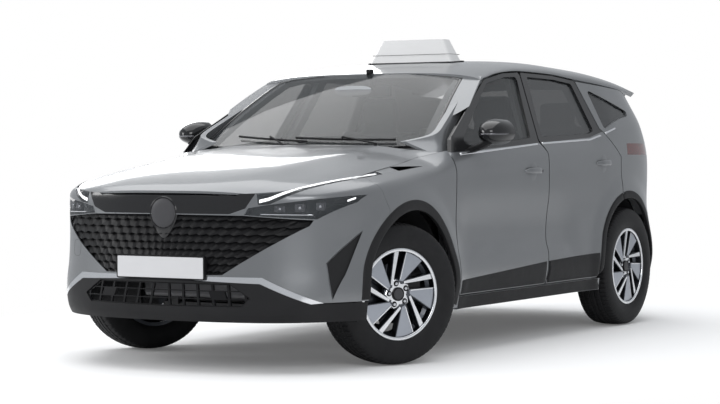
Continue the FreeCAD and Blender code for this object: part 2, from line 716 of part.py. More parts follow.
# The intake: three rows of openings between slats that spread downward, and two closed plates.
intake_rows = [(0.2725, 0.2530), (0.2500, 0.2290), (0.2260, 0.2050)]
slat_shares = (0.045, 0.135, 0.225, 0.315, 0.405, 0.495)
slat_half_share = 0.006
slat_spread = 0.020
closed_plate_shares = [(0.300, 0.2500), (0.390, 0.2500), (0.405, 0.2290), (0.315, 0.2290)]
intake_plate = grille_slab.common(whole(intake_shares, gap))
solid_bars = halves(closed_plate_shares)
for spot in slat_shares:
    near, far = spot - slat_half_share, spot + slat_half_share
    solid_bars += halves([(near, 0.28), (far, 0.28), (far + slat_spread, 0.20), (near + slat_spread, 0.20)])
inside = whole(intake_shares, -size["intake_rim"])
for top, low in intake_rows:
    hollow = front_outline([(-0.6, top), (0.6, top), (0.6, low), (-0.6, low)]).common(inside)
    for bar in solid_bars:
        hollow = hollow.cut(bar)
    intake_plate = intake_plate.cut(hollow)
keep("grille", upper_grille, intake_plate)
lamp_slab = nose_slab(0, size["lamp_depth"]).cut(hood_clear)
lamps = [lamp_slab.common(cut) for cut in halves(running_lamp_shares) + halves(main_lamp_shares)]
keep("headlamps", *lamps)

# Tail: quarter panels, rear bumper, tailgate and lamps from one wrap-around surface.
tail_across = steps(-1.06, 1.06, 50)
tail_heights = steps(0.0, 1.0, 32)


def tail_slab(start, depth, us=tail_across):
    def point(u, v):
        return tail_point(u, v) + tail_in(start)(u, v)
    return slab(point, us, tail_heights, tail_in(depth))


tailgate_shares = [(0, 0.425), (0.66, 0.425), (0.70, 0.50), (0.735, 0.60), (0.745, 0.66), (0.70, 0.78),
                   (0.635, 0.90), (0.60, 0.9225), (0.3, 0.9475), (0, 0.955)]
rear_window_shares = [(0, 0.705), (0.60, 0.705), (0.640, 0.745), (0.575, 0.885), (0.3, 0.905), (0, 0.91)]
tail_lamp_shares = [(0.30, 0.640), (0.30, 0.672), (0.80, 0.690), (1.10, 0.692), (1.10, 0.655), (0.80, 0.640)]
quarter_shares = [(0.2212, 0.9225), (0.2348, 0.748), (0.2870, 0.6415), (0.2888, 0.54), (0.2888, 0.4154),
                  (0.52, 0.4154), (0.52, 0.80), (0.43, 0.864), (0.339, 0.8975)]
quarter_glass_shares = [(0.2475, 0.743), (0.284, 0.772), (0.305, 0.785), (0.352, 0.802), (0.2425, 0.893)]
rear_bumper_shares = [(0.30, 0.415), (0.52, 0.415), (0.52, 0.10), (0.30, 0.10)]


def rear_whole(shares, grow=0.0):
    return rear_outline(both(shares), 0, grow)


quarter_us = steps(0.30, 1.50, 40)
quarter = tail_slab(0, jamb - 4 * seat, quarter_us).common(side_outline(quarter_shares))
quarter = quarter.cut(rear_whole(tailgate_shares, gap)).cut(arch(rear_axle)).cut(roof_clear)
quarter = quarter.cut(cylinder_x(liner_radius + size["liner_wall"] + seat, rear_axle, axle_height, 0,
                                 size["rear_liner_x"] + over))
quarter = quarter.cut(rear_outline(tail_lamp_shares, 0, seat, rear_axle))
pane_shape = side_outline(quarter_glass_shares, corner)
pane = tail_slab(size["glass_inset"], glass, quarter_us).common(side_outline(quarter_glass_shares, corner, -seat))
pair("quarter_panel", quarter.cut(pane_shape))
keep("quarter_glasses", pane, mirrored(pane))

gate = tail_slab(0, size["tailgate_depth"]).common(rear_whole(tailgate_shares))
gate = gate.cut(rear_whole(rear_window_shares)).cut(rear_outline(tail_lamp_shares, 0, seat, rear_axle))
gate = gate.cut(mirrored(rear_outline(tail_lamp_shares, 0, seat, rear_axle)))
spoiler_stations = steps(roof_stations[-1] + size["gate_split"] / length, 0.411, 8)
spoiler_across = steps(-0.84, 0.84, 32)
spoiler = slab(roof_point, spoiler_stations, spoiler_across, roof_in(size["spoiler_depth"]))
above = slab(lambda ys, t: roof_point(ys, t) + vec(0, 0, height / 10), steps(roof_stations[-1], 0.44, 8),
             steps(-1.0, 1.0, 32), roof_in(height / 10 + size["spoiler_depth"] / 2))
keep("tailgate", max(gate.cut(above).fuse(spoiler).Solids, key=lambda solid: solid.Volume))
gate_pane = tail_slab(size["glass_inset"], glass).common(rear_whole(rear_window_shares, -seat))
keep("tailgate_glass", gate_pane.cut(spoiler))
lamp = tail_slab(0, size["tailgate_depth"]).common(rear_outline(tail_lamp_shares, 0, 0, rear_axle))
outer_lamp = lamp.cut(rear_whole(tailgate_shares, gap))
inner_lamp = lamp.common(rear_whole(tailgate_shares))
keep("tail_lamps", outer_lamp, mirrored(outer_lamp))
keep("tailgate_lamps", inner_lamp, mirrored(inner_lamp))
tail_skin = tail_slab(0, size["bumper_wall"]).common(side_outline(rear_bumper_shares).fuse(
    mirrored(side_outline(rear_bumper_shares))))
for side in (arch(rear_axle), mirrored(arch(rear_axle))):
    tail_skin = tail_skin.cut(side)
keep("rear_bumper", tail_skin)

# Machine-made pieces: bodies whose sketches are bound to the sheet.


def plane(body, role):
    return next(item for item in body.Origin.OriginFeatures if item.Role == role)


def new_body(name):
    body = doc.addObject("PartDesign::Body", name)
    body.Label = name
    parts[name] = body
    return body


def profile(body, name, role, points):
    # a closed outline whose corners are formulas in the sheet's names
    sketch = body.newObject("Sketcher::SketchObject", name)
    sketch.AttachmentSupport = (plane(body, role), [""])
    sketch.MapMode = "FlatFace"
    places = [[float(sheet.evalExpression(text)) for text in point] for point in points]
    count = len(points)
    for i in range(count):
        a, b = places[i], places[(i + 1) % count]
        sketch.addGeometry(Part.LineSegment(vec(a[0], a[1], 0), vec(b[0], b[1], 0)), False)
    for i in range(count):
        sketch.addConstraint(Sketcher.Constraint("Coincident", i, 2, (i + 1) % count, 1))
    for i, (point, place) in enumerate(zip(points, places)):
        for kind, text, number in (("DistanceX", point[0], place[0]), ("DistanceY", point[1], place[1])):
            index = sketch.addConstraint(Sketcher.Constraint(kind, -1, 1, i, 1, number))
            sketch.setExpression("Constraints[%d]" % index, text)
    return sketch


def pad(body, name, sketch, depth, symmetric=False):
    feature = body.newObject("PartDesign::Pad", name)
    feature.Profile = sketch
    feature.Midplane = symmetric
    feature.setExpression("Length", depth)
    return feature


def revolve(body, name, sketch, kind="PartDesign::Revolution"):
    feature = body.newObject(kind, name)
    feature.Profile = sketch
    feature.ReferenceAxis = (sketch, ["H_Axis"])
    feature.Angle = 360
    return feature


def repeat(body, name, features, count):
    pattern = body.newObject("PartDesign::PolarPattern", name)
    pattern.Originals = features
    pattern.Axis = (plane(body, "X_Axis"), [""])
    pattern.Angle = 360
    pattern.Occurrences = count
    body.Tip = pattern
    return pattern


def mirror_x(points):
    return [("-(" + x + ")", y) for x, y in reversed(points)]


radius = "Sizes.tyre_diameter / 2"
wide = "Sizes.tyre_width / 2"
bead = "Sizes.rim_diameter / 2"
tyre_half = [
    ("Sizes.tread_width / 2", radius + " - Sizes.tyre_crown"),
    (wide + " - Sizes.tyre_crown / 2", radius + " - 4 * Sizes.tyre_crown"),
    (wide, bead + " + 0.5 * (" + radius + " - " + bead + ")"),
    (wide + " - Sizes.tyre_crown / 2", bead + " + 0.15 * (" + radius + " - " + bead + ")"),
    ("Sizes.rim_width / 2 - Sizes.rim_flange", bead + " + 1.5 * Sizes.rim_flange"),
    ("Sizes.rim_width / 2 - Sizes.rim_flange", bead),
    ("Sizes.rim_width / 2 - Sizes.rim_flange - Sizes.tyre_wall", bead),
    (wide + " - Sizes.tyre_wall", bead + " + 0.5 * (" + radius + " - " + bead + ")"),
    ("Sizes.tread_width / 2 - Sizes.tyre_wall / 2", radius + " - Sizes.tyre_crown - Sizes.tyre_wall")]
tyre_outline = [("0", radius)] + tyre_half + [("0", radius + " - Sizes.tyre_wall")] + mirror_x(tyre_half)


def make_tyre(name, place):
    body = new_body(name)
    revolve(body, name + "_ring", profile(body, name + "_outline", "XY_Plane", tyre_outline))
    body.Placement = place


seat_radius = bead + " - Sizes.seat_gap"
edge = "Sizes.rim_width / 2"
inner_edge = edge + " - Sizes.rim_flange + Sizes.seat_gap"
barrel_outline = [
    ("-(" + edge + ")", seat_radius + " + Sizes.rim_flange"),
    ("-(" + inner_edge + ")", seat_radius + " + Sizes.rim_flange"),
    ("-(" + inner_edge + ")", seat_radius),
    ("-0.25 * Sizes.rim_width", seat_radius),
    ("-0.2 * Sizes.rim_width", seat_radius + " - Sizes.rim_drop"),
    ("0.2 * Sizes.rim_width", seat_radius + " - Sizes.rim_drop"),
    ("0.25 * Sizes.rim_width", seat_radius),
    (inner_edge, seat_radius),
    (inner_edge, seat_radius + " + Sizes.rim_flange"),
    (edge, seat_radius + " + Sizes.rim_flange"),
    (edge, seat_radius + " - Sizes.rim_wall / 2"),
    ("0.28 * Sizes.rim_width", seat_radius + " - Sizes.rim_wall"),
    ("0.21 * Sizes.rim_width", seat_radius + " - Sizes.rim_drop - Sizes.rim_wall"),
    ("-0.21 * Sizes.rim_width", seat_radius + " - Sizes.rim_drop - Sizes.rim_wall"),
    ("-0.28 * Sizes.rim_width", seat_radius + " - Sizes.rim_wall"),
    ("-(" + edge + ")", seat_radius + " - Sizes.rim_wall")]
bore = "Sizes.spindle_radius + Sizes.bearing_gap"
hub_outline = [
    ("-Sizes.hub_depth", bore), ("-Sizes.hub_depth", bore + " + Sizes.hub_wall"),
    ("Sizes.hub_face - Sizes.hub_flange", bore + " + Sizes.hub_wall"),
    ("Sizes.hub_face - Sizes.hub_flange", "Sizes.hub_radius"), ("Sizes.hub_face", "Sizes.hub_radius"),
    ("Sizes.hub_face", "0"), ("Sizes.hub_face - Sizes.hub_flange", "0"),
    ("Sizes.hub_face - Sizes.hub_flange", bore)]
disc_outline = [
    ("0", bore + " + Sizes.hub_wall - Sizes.overrun"), ("0", "Sizes.disc_radius"),
    ("Sizes.disc_thickness", "Sizes.disc_radius"),
    ("Sizes.disc_thickness", bore + " + Sizes.hub_wall - Sizes.overrun")]


def spoke_outline(shares):
    return [("%s * Sizes.rim_diameter / 2" % a, "%s * Sizes.rim_diameter / 2" % b) for a, b in shares]


fin_shares = [(0.26, -0.03), (0.865, -0.470), (0.959, -0.2214), (0.983, 0.034), (0.26, 0.075)]
bar_shares = [(0.10, 0.215), (0.958, 0.225), (0.917, 0.357), (0.10, 0.285)]


def make_rim(name, place):
    body = new_body(name)
    revolve(body, name + "_barrel", profile(body, name + "_barrel_outline", "XY_Plane", barrel_outline))
    revolve(body, name + "_hub", profile(body, name + "_hub_outline", "XY_Plane", hub_outline))
    revolve(body, name + "_disc", profile(body, name + "_disc_outline", "XY_Plane", disc_outline))
    spokes = []
    for kind, shares in (("fin", fin_shares), ("bar", bar_shares)):
        sketch = profile(body, name + "_" + kind + "_outline", "YZ_Plane", spoke_outline(shares))
        sketch.setExpression("AttachmentOffset.Base.z", "Sizes.hub_face - Sizes.hub_flange")
        spokes.append(pad(body, name + "_" + kind, sketch, "Sizes.spoke_depth"))
    repeat(body, name + "_spokes", spokes, 5)
    body.Placement = place


# The four wheels. Those in front turn about a kingpin axis that leans in at the top, and they
# stand turned to the right, so the wheels' contact sets how high the axle carries them.
lean = math.radians(size["kingpin_lean"])


def kingpin(side):
    return vec(-side * math.sin(lean), 0, math.cos(lean))


def front_place(side, lift):
    low = vec(side * size["kingpin_low_x"], front_axle, size["kingpin_low_z"] + lift)
    centre = vec(side * wheel_x, front_axle, axle_height + lift)
    turn = FreeCAD.Rotation(kingpin(side), size["steer_angle"])
    flip = FreeCAD.Rotation(vec(0, 0, 1), 0 if side > 0 else 180)
    return FreeCAD.Placement(low + turn.multVec(centre - low), turn.multiply(flip))


def tyre_low(place):
    # the lowest point of the tread's shoulders and crown in a given placement
    axle = place.Rotation.multVec(vec(1, 0, 0))
    drop = math.sqrt(1 - axle.z ** 2)
    crown = (size["tyre_diameter"] / 2) * drop
    shoulder = (size["tyre_diameter"] / 2 - size["tyre_crown"]) * drop + abs(axle.z) * size["tread_width"] / 2
    return place.Base.z - max(crown, shoulder)


steer_lift = -tyre_low(front_place(1, 0))
places = {}
for side, word in ((1, "left"), (-1, "right")):
    places["front_" + word] = front_place(side, steer_lift)
    places["rear_" + word] = FreeCAD.Placement(
        vec(side * wheel_x, rear_axle, axle_height), FreeCAD.Rotation(vec(0, 0, 1), 0 if side > 0 else 180))
for word, place in places.items():
    make_tyre("tyre_" + word, place)
    make_rim("rim_" + word, place)


def tube(radius, start, end):
    run = end - start
    return Part.makeCylinder(radius, run.Length, start, run)


def caliper_shape():
    # the brake calliper behind the axle, around the disc's edge, with its arm to the knuckle
    half = size["knuckle_width"] / 2
    thick = size["knuckle_thickness"]
    back = -size["hub_depth"] - size["knuckle_gap"]
    disc_top = size["disc_radius"] + over
    low = size["disc_radius"] * 0.62
    pads = block(-size["caliper_reach"], size["disc_thickness"] + size["caliper_reach"], -half, half,
                 low, disc_top + thick / 2)
    pads = pads.cut(block(-over, size["disc_thickness"] + over, -2 * half, 2 * half, 0, disc_top))
    bridge = block(back - thick, -size["caliper_reach"] + over, -half / 2, half / 2, low, disc_top)
    web = block(back - thick, back, -half / 2, half / 2, 0, low + over)
    whole = pads.fuse([bridge, web]).removeSplitter()
    return whole.rotated(vec(), vec(1, 0, 0), -90)


def make_knuckle(side, word):
    # spindle, upright, caliper and strut, set out with the wheel straight ahead
    low = vec(size["kingpin_low_x"] - wheel_x, 0, size["kingpin_low_z"] - axle_height)
    axis = kingpin(1)
    back = -size["hub_depth"] - size["knuckle_gap"]
    thick = size["knuckle_thickness"]
    half = size["knuckle_width"] / 2
    spindle = cylinder_x(size["spindle_radius"], 0, 0, back - thick, size["hub_face"] - size["hub_flange"] - over)
    upright = block(back - thick, back, -half, half, low.z + size["ball_radius"], half + thick)
    strut_low = axis * ((half - low.z) / axis.z) + low
    strut_high = axis * ((size["strut_top"] - size["kingpin_low_z"]) / axis.z) + low
    spring_low = axis * ((size["tyre_diameter"] + 3 * over - size["kingpin_low_z"]) / axis.z) + low
    clamp = block(strut_low.x - size["strut_radius"], back, -size["strut_radius"], size["strut_radius"],
                  strut_low.z - thick, strut_low.z + thick)
    strut = tube(size["strut_radius"], strut_low - axis * thick, strut_high)
    spring_pan = tube(size["spring_radius"], spring_low, spring_low + axis * over)
    coils = []
    run = strut_high - spring_low
    for turn in range(1, 6):
        coils.append(Part.makeTorus(size["spring_radius"] - size["spring_wire"], size["spring_wire"],
                                    spring_low + run * (turn / 6.0), axis))
    web = tube(size["spring_radius"] - size["spring_wire"], spring_low + axis * over, strut_high)
    ball = Part.makeSphere(size["ball_radius"], low)
    stem = tube(size["ball_radius"] * 0.6, low, vec(back - thick / 2, 0, low.z + 3 * size["ball_radius"]))
    shapes = [spindle, upright, clamp, strut, spring_pan, web, ball, stem] + coils
    knuckle = fused(caliper_shape(), *shapes)
    if side < 0:
        knuckle = mirrored(knuckle)
        low = vec(-low.x, low.y, low.z)
    centre = vec(side * wheel_x, front_axle, axle_height + steer_lift)
    turn = FreeCAD.Placement(vec(), FreeCAD.Rotation(kingpin(side), size["steer_angle"]), centre + low)
    knuckle.Placement = turn.multiply(FreeCAD.Placement(centre, FreeCAD.Rotation())).multiply(knuckle.Placement)
    keep("knuckle_" + word, knuckle)


make_knuckle(1, "left")
make_knuckle(-1, "right")

# Structure, running gear and cabin: boxes and outlines as shares of the body's own sizes.


def share_block(shares):
    (x0, x1), (y0, y1), (z0, z1) = shares
    return block(x0 * half_width, x1 * half_width, y0 * length, y1 * length, z0 * height, z1 * height)


def share_point(x, y, z):
    return vec(x * half_width, y * length, z * height)


def rounded(shape, radius):
    return shape.makeFillet(radius, shape.Edges)


def side_pad(shares, x0, x1, radius=0.0):
    # an outline in the side view, extruded between two places across the cab
    face = Part.Face(polygon([vec(x0, y * length, z * height) for y, z in shares], radius))
    return face.extrude(vec(x1 - x0, 0, 0))


def share_tube(radius, *places):
    # straight tubes from place to place with a ball at each bend
    points = [share_point(*place) for place in places]
    shapes = [Part.makeSphere(radius, point) for point in points[1:-1]]
    return shapes + [tube(radius, a, b) for a, b in zip(points, points[1:])]


floor_shares = [(-0.19372, 0.3145), (-0.18983, 0.3145), (-0.18983, 0.2113), (0.21469, 0.2113),
    (0.23729, 0.3245), (0.46328, 0.3245), (0.46328, 0.4025), (0.46689, 0.4025),
    (0.46689, 0.3145), (0.23955, 0.3145), (0.21695, 0.2013), (-0.19372, 0.2013)]
front_floor_shares = ((-0.8719, 0.8719), (-0.20339, 0.20339), (0.1887, 0.3208))
firewall_shares = [(-0.19372, 0.6478), (-0.18983, 0.6478), (-0.18983, 0.3019), (-0.19372, 0.3019)]
striker_shares = ((-0.0436, 0.0436), (0.46328, 0.48362), (0.4025, 0.4654))
tub_x = size["rear_tub_x"]
floor = side_pad(floor_shares, -size["floor_half"], size["floor_half"]).common(share_block(front_floor_shares))
floor = floor.fuse(side_pad(floor_shares, -tub_x + seat, tub_x - seat))
floor = floor.fuse(side_pad(firewall_shares, -size["firewall_half"], size["firewall_half"]))
striker = share_block(striker_shares).cut(tail_slab(-10 * over, 10 * over + size["tailgate_depth"] + 3 * seat))
striker = min(striker.Solids, key=lambda solid: solid.CenterOfMass.y)
keep("floor_pan", floor.fuse(striker).removeSplitter())

# Wheel housings: part of a drum, closed on the inside above the axle.
liner_radius = size["arch_radius"] + size["liner_clearance"]
liner_wall = size["liner_wall"]


def make_liner(axle, inner_x, outer_x):
    outer = cylinder_x(liner_radius + liner_wall, axle, axle_height, inner_x, outer_x)
    inner = cylinder_x(liner_radius, axle, axle_height, inner_x + liner_wall, outer_x + over)
    low = block(0, half_width, axle - length / 4, axle + length / 4, -height, size["sill_bottom"])
    passage = block(0, inner_x + liner_wall + over, axle - length / 4, axle + length / 4,
                    -height, size["passage_top"])
    return outer.cut(inner).cut(low).cut(passage)


low_place = vec(size["kingpin_low_x"], front_axle, size["kingpin_low_z"] + steer_lift)
strut_hole = tube(size["spring_radius"] + 3 * over, low_place, low_place + kingpin(1) * size["strut_top"])
front_liner = make_liner(front_axle, size["front_tub_x"], size["front_liner_x"]).cut(strut_hole)
rear_liner = make_liner(rear_axle, tub_x, size["rear_liner_x"])
keep("wheel_liners", front_liner, rear_liner, mirrored(front_liner), mirrored(rear_liner))

# Front structure: rails, strut towers, upper carrier and the rests of the hood.
rail_shares = ((0.3978, 0.4796), (-0.46102, -0.19435), (0.2642, 0.3396))
fender_rail_shares = ((0.6975, 0.752), (-0.36158, -0.19435), (0.5346, 0.5597))
tower_shares = ((0.5035, 0.7629), (-0.31638, -0.27006), (0.5421, 0.5786))
tower_wall_shares = ((0.4796, 0.4926), (-0.31638, -0.27006), (0.2704, 0.5786))
tower_join_shares = ((0.4796, 0.7629), (-0.31638, -0.27006), (0.5711, 0.5786))
carrier_shares = ((-0.4687, 0.4687), (-0.46554, -0.45424), (0.4403, 0.4717))
lower_carrier_shares = ((-0.4796, 0.4796), (-0.46554, -0.4565), (0.2642, 0.3396))
carrier_post_shares = ((0.4142, 0.4687), (-0.46328, -0.45424), (0.327, 0.4528))
cross_shares = ((-0.752, 0.752), (-0.19887, -0.19379), (0.5346, 0.5597))
rest_places = [(0.436, -0.45989, 0.4654), (0.7193, -0.21243, 0.5472)]
structure = [share_block(carrier_shares), share_block(lower_carrier_shares), share_block(cross_shares)]
for shares in (rail_shares, fender_rail_shares, tower_wall_shares, tower_join_shares, carrier_post_shares):
    structure += [share_block(shares), mirrored(share_block(shares))]
tower = share_block(tower_shares)
structure += [tower, mirrored(tower)]
front_frame = fused(*structure)
pocket = tube(size["spring_radius"] + over, low_place, low_place + kingpin(1) * (
    (size["strut_top"] - size["kingpin_low_z"]) / kingpin(1).z + seat))
front_frame = front_frame.cut(pocket).cut(mirrored(pocket))
hood_low = hood.translated(vec(0, 0, -3 * seat))
for place in rest_places:
    post = tube(2 * over, share_point(*place), share_point(place[0], place[1], 1.0))
    post = min(post.cut(hood_low).Solids, key=lambda solid: solid.CenterOfMass.z)
    front_frame = front_frame.fuse(post).fuse(mirrored(post))
keep("front_structure", front_frame.removeSplitter())

engine_shares = ((-0.3597, 0.3597), (-0.42712, -0.31186), (0.2145, 0.5346))
keep("engine_block", rounded(share_block(engine_shares), 4 * over))

subframe_shares = ((-0.3706, 0.3706), (-0.38418, -0.22147), (0.1572, 0.1887))
subframe_window_shares = ((-0.2398, 0.2398), (-0.36158, -0.24407), (0.1258, 0.2516))
mount_shares = [((-0.327, -0.2616), (-0.3887, -0.37062), (0.1824, 0.2142)), ((0.2616, 0.327), (-0.3887, -0.37062), (0.1824, 0.2142))]
riser_shares = ((0.3161, 0.3706), (-0.23955, -0.22599), (0.1824, 0.2648))
riser_top_shares = ((0.3597, 0.4796), (-0.23955, -0.22599), (0.239, 0.2638))
subframe = share_block(subframe_shares).cut(share_block(subframe_window_shares))
pieces = [share_block(shares) for shares in mount_shares]
for shares in (riser_shares, riser_top_shares):
    pieces += [share_block(shares), mirrored(share_block(shares))]
arm_place = (0.327, -0.29322, 0.1698)
ball_low = low_place - vec(0, 0, size["ball_radius"] + seat)
cup = Part.makeCylinder(size["ball_radius"] * 1.5, 2 * over, ball_low - vec(0, 0, 2 * over))
arm_tip = ball_low - vec(0, 0, size["arm_radius"] + 2 * over / 3)
arm = fused(tube(size["arm_radius"], share_point(*arm_place), arm_tip), cup)
pieces += [arm, mirrored(arm)]
keep("front_subframe", subframe.multiFuse(pieces).removeSplitter())

# Rear axle: a beam between two trailing arms with stub axles and brake callipers.
bush_place = (0.6104, 0.21017, 0.1824)
arm_end = (0.654, 0.30904, 0.2236)
bush_z = floor_shares[-1][1] * height - seat - size["bush_radius"]
bush = cylinder_x(size["bush_radius"], bush_place[1] * length, bush_z, (bush_place[0] - 0.03) * half_width,
                  (bush_place[0] + 0.03) * half_width)
trail = tube(size["arm_radius"] * 1.4, vec(bush_place[0] * half_width, bush_place[1] * length, bush_z),
             share_point(*arm_end))
back_x = wheel_x - size["hub_depth"] - size["knuckle_gap"]
spindle_end = wheel_x + size["hub_face"] - size["hub_flange"] - over
stub = cylinder_x(size["spindle_radius"], rear_axle, axle_height, arm_end[0] * half_width, spindle_end)
plate = cylinder_x(size["spindle_radius"] * 2, rear_axle, axle_height, back_x - size["knuckle_thickness"], back_x)
caliper = caliper_shape().translated(vec(wheel_x, rear_axle, axle_height))
spring_z = floor_shares[-3][1] * height - seat
spring_x = bush_place[0] * half_width - size["spring_radius"]
spring_y = rear_axle - size["rear_spring_setback"]
spring = Part.makeCylinder(size["spring_radius"], spring_z - axle_height + 3 * over,
                           vec(spring_x, spring_y, axle_height - 3 * over))
one_side = fused(bush, trail, stub, plate, caliper, spring)
beam_y = bush_place[1] * length + size["beam_setback"]
beam_z = bush_z + (axle_height - bush_z) * size["beam_setback"] / (rear_axle - bush_place[1] * length)
beam = cylinder_x(size["arm_radius"] * 1.6, beam_y, beam_z, -bush_place[0] * half_width, bush_place[0] * half_width)
link = tube(size["arm_radius"], vec(spring_x, spring_y, axle_height), vec(spring_x, beam_y, beam_z))
keep("rear_axle_beam", fused(one_side, mirrored(one_side), beam, link, mirrored(link)))

pipe_places = [(-0.0654, -0.3118, 0.2358), (-0.0654, -0.30056, 0.2358), (-0.0654, -0.28249, 0.2075), (-0.0654, -0.21808, 0.2075),
               (-0.0654, -0.18079, 0.1648), (-0.0654, 0.33898, 0.1648), (-0.1635, 0.37514, 0.2075)]
muffler_shares = ((-0.4578, 0.1308), (0.37062, 0.43616), (0.1887, 0.2862))
muffler = rounded(share_block(muffler_shares), 6 * over)
hanger_shares = [((-0.1962, -0.1744), (0.39774, 0.40452), (0.2767, 0.3143)), ((-0.0872, -0.0436), (0.0, 0.00904), (0.1698, 0.2011))]
keep("exhaust", muffler.multiFuse(share_tube(size["pipe_radius"], *pipe_places)
                                  + [share_block(shares) for shares in hanger_shares]).removeSplitter())

# Cabin.
dash_shares = [(-0.18976, 0.3522), (-0.18976, 0.6365), (-0.12655, 0.6428), (-0.09944, 0.6195),
    (-0.0904, 0.566), (-0.09718, 0.478), (-0.12655, 0.3774)]
console_shares = [(-0.13559, 0.2115), (-0.13559, 0.4403), (-0.09718, 0.4528), (-0.01356, 0.3522),
    (0.07232, 0.3522), (0.07684, 0.2115)]
wheel_place = (0.4251, -0.0678, 0.6038)
wheel_axis = vec(0, math.cos(math.radians(size["column_rake"])), math.sin(math.radians(size["column_rake"])))
wheel_middle = share_point(*wheel_place)
column = tube(size["column_radius"], wheel_middle - wheel_axis * size["column_reach"],
              wheel_middle - wheel_axis * size["hub_recess"])
shaft_bore = tube(size["shaft_radius"] + size["bearing_gap"], wheel_middle - wheel_axis * size["shaft_reach"],
                  wheel_middle)
dash = side_pad(dash_shares, -size["dash_half"], size["dash_half"], 8 * over)
console = side_pad(console_shares, -size["console_half"], size["console_half"], 4 * over)
keep("dashboard", fused(dash, console, column).cut(shaft_bore))

rim_ring = Part.makeTorus(size["steering_wheel_radius"], size["steering_rim_radius"], wheel_middle, wheel_axis)
boss = tube(size["column_radius"] * 1.6, wheel_middle - wheel_axis * (size["hub_recess"] - over),
            wheel_middle + wheel_axis * 2 * over)
shaft = tube(size["shaft_radius"], wheel_middle - wheel_axis * (size["shaft_reach"] - over), wheel_middle)
spokes = []
for angle in (0, 180, 270):
    out = vec(math.cos(math.radians(angle)), 0, 0) + wheel_axis.cross(vec(1, 0, 0)) * math.sin(
        math.radians(-angle))
    spokes.append(tube(size["steering_rim_radius"] * 0.8, wheel_middle - wheel_axis * over,
                       wheel_middle + out * size["steering_wheel_radius"]))
keep("steering_wheel", fused(rim_ring, boss, shaft, *spokes))

cushion_shares = [(-0.02712, 0.2767), (-0.03164, 0.3522), (-0.0226, 0.3774), (0.07458, 0.3522),
    (0.09492, 0.3616), (0.09718, 0.2767)]
base_shares = [(-0.01356, 0.2115), (-0.01356, 0.2893), (0.08588, 0.2893), (0.08588, 0.2115)]
back_shares = [(0.08136, 0.2956), (0.07458, 0.3522), (0.11299, 0.7358), (0.12655, 0.7484),
    (0.13785, 0.7296), (0.10621, 0.2956)]
head_shares = [(0.11751, 0.7642), (0.11751, 0.8616), (0.12316, 0.8774), (0.13785, 0.8711),
    (0.14124, 0.7736)]
post_shares = [(0.12429, 0.7233), (0.12655, 0.7925), (0.13107, 0.7925), (0.12881, 0.7233)]
seat_half = size["seat_width"] / 2


def make_seat(middle, half, heads):
    soft = 6 * over
    shapes = [side_pad(cushion_shares, middle - half, middle + half, soft),
              side_pad(back_shares, middle - half, middle + half, soft),
              side_pad(base_shares, middle - half * 0.8, middle + half * 0.8)]
    for place in heads:
        shapes.append(side_pad(head_shares, place - size["head_half"], place + size["head_half"], 3 * over))
        shapes.append(side_pad(post_shares, place - 2 * over, place + 2 * over))
    return fused(*shapes)


front_seat = make_seat(size["seat_x"], seat_half, [size["seat_x"]])
keep("front_seats", front_seat, mirrored(front_seat))

rear_cushion_shares = [(0.19209, 0.3247), (0.18757, 0.3774), (0.19661, 0.4025), (0.29379, 0.3774),
    (0.29605, 0.3247)]
rear_back_shares = [(0.28475, 0.3247), (0.28023, 0.3899), (0.31638, 0.7547), (0.32994, 0.7642),
    (0.34124, 0.7484), (0.31638, 0.3247)]
rear_head_shares = [(0.32203, 0.7767), (0.32203, 0.8491), (0.32768, 0.8616), (0.33898, 0.8553),
    (0.34237, 0.783)]
rear_post_shares = [(0.32768, 0.7421), (0.32881, 0.7987), (0.33333, 0.7987), (0.3322, 0.7421)]
rear_half = tub_x - 2 * over
bench = [side_pad(rear_cushion_shares, -rear_half, rear_half, 4 * over),
         side_pad(rear_back_shares, -rear_half, rear_half, 4 * over)]
for place in (-size["seat_x"], 0, size["seat_x"]):
    bench.append(side_pad(rear_head_shares, place - size["head_half"], place + size["head_half"], 3 * over))
    bench.append(side_pad(rear_post_shares, place - 2 * over, place + 2 * over))
keep("rear_seat", fused(*bench))

# Outside fittings: roof sign, wipers, mirrors and the tailgate's spoiler.
sign_y = size["sign_y"]


def sign_outline(wide, deep, z):
    half, back = wide / 2, deep / 2
    return polygon([vec(-half, sign_y - back, z), vec(half, sign_y - back, z), vec(half, sign_y + back, z),
                    vec(-half, sign_y + back, z)], 5 * over)


sign_low = height - 8 * over
sign_top = size["sign_top_z"]
sign = Part.makeLoft([sign_outline(size["sign_width"], size["sign_depth"], sign_low),
                      sign_outline(size["sign_top_width"], size["sign_top_depth"], sign_top)], True, False)
sign = max(sign.cut(roof_skin).Solids, key=lambda solid: solid.CenterOfMass.z)
keep("taxi_sign", sign.translated(vec(0, 0, seat)))

screen_out = screen_inward * -1
# Thickness of the wipers' arms, hooks and pins as shares of the blades'.
arm_share, hook_share, pin_share = 0.8, 0.7, 1.5


def wiper(start, finish, park):
    def over_glass(share, lift):
        t = start[0] + (finish[0] - start[0]) * share
        j = start[1] + (finish[1] - start[1]) * share
        return screen_point(t, j) + screen_out * size["wiper_lift"] * lift

    radius = size["wiper_radius"]
    line = Part.BSplineCurve()
    line.interpolate([over_glass(share, 1.0) for share in steps(0.0, 1.0, 6)])
    path = Part.Wire([line.toShape()])
    direction = line.tangent(line.FirstParameter)[0]
    section = Part.Wire([Part.Circle(over_glass(0.0, 1.0), direction, radius).toShape()])
    blade = path.makePipeShell([section], True, False)
    pivot = screen_point(*park) + screen_out * size["wiper_lift"] * 2
    elbow = over_glass(0.5, 2.2)
    arm = tube(radius * arm_share, pivot, elbow)
    hook = tube(radius * hook_share, elbow, over_glass(0.5, 1.0))
    pin = tube(radius * pin_share, pivot - vec(0, 0, 6 * over), pivot + vec(0, 0, over))
    return blade.fuse([arm, hook, pin]).removeSplitter()


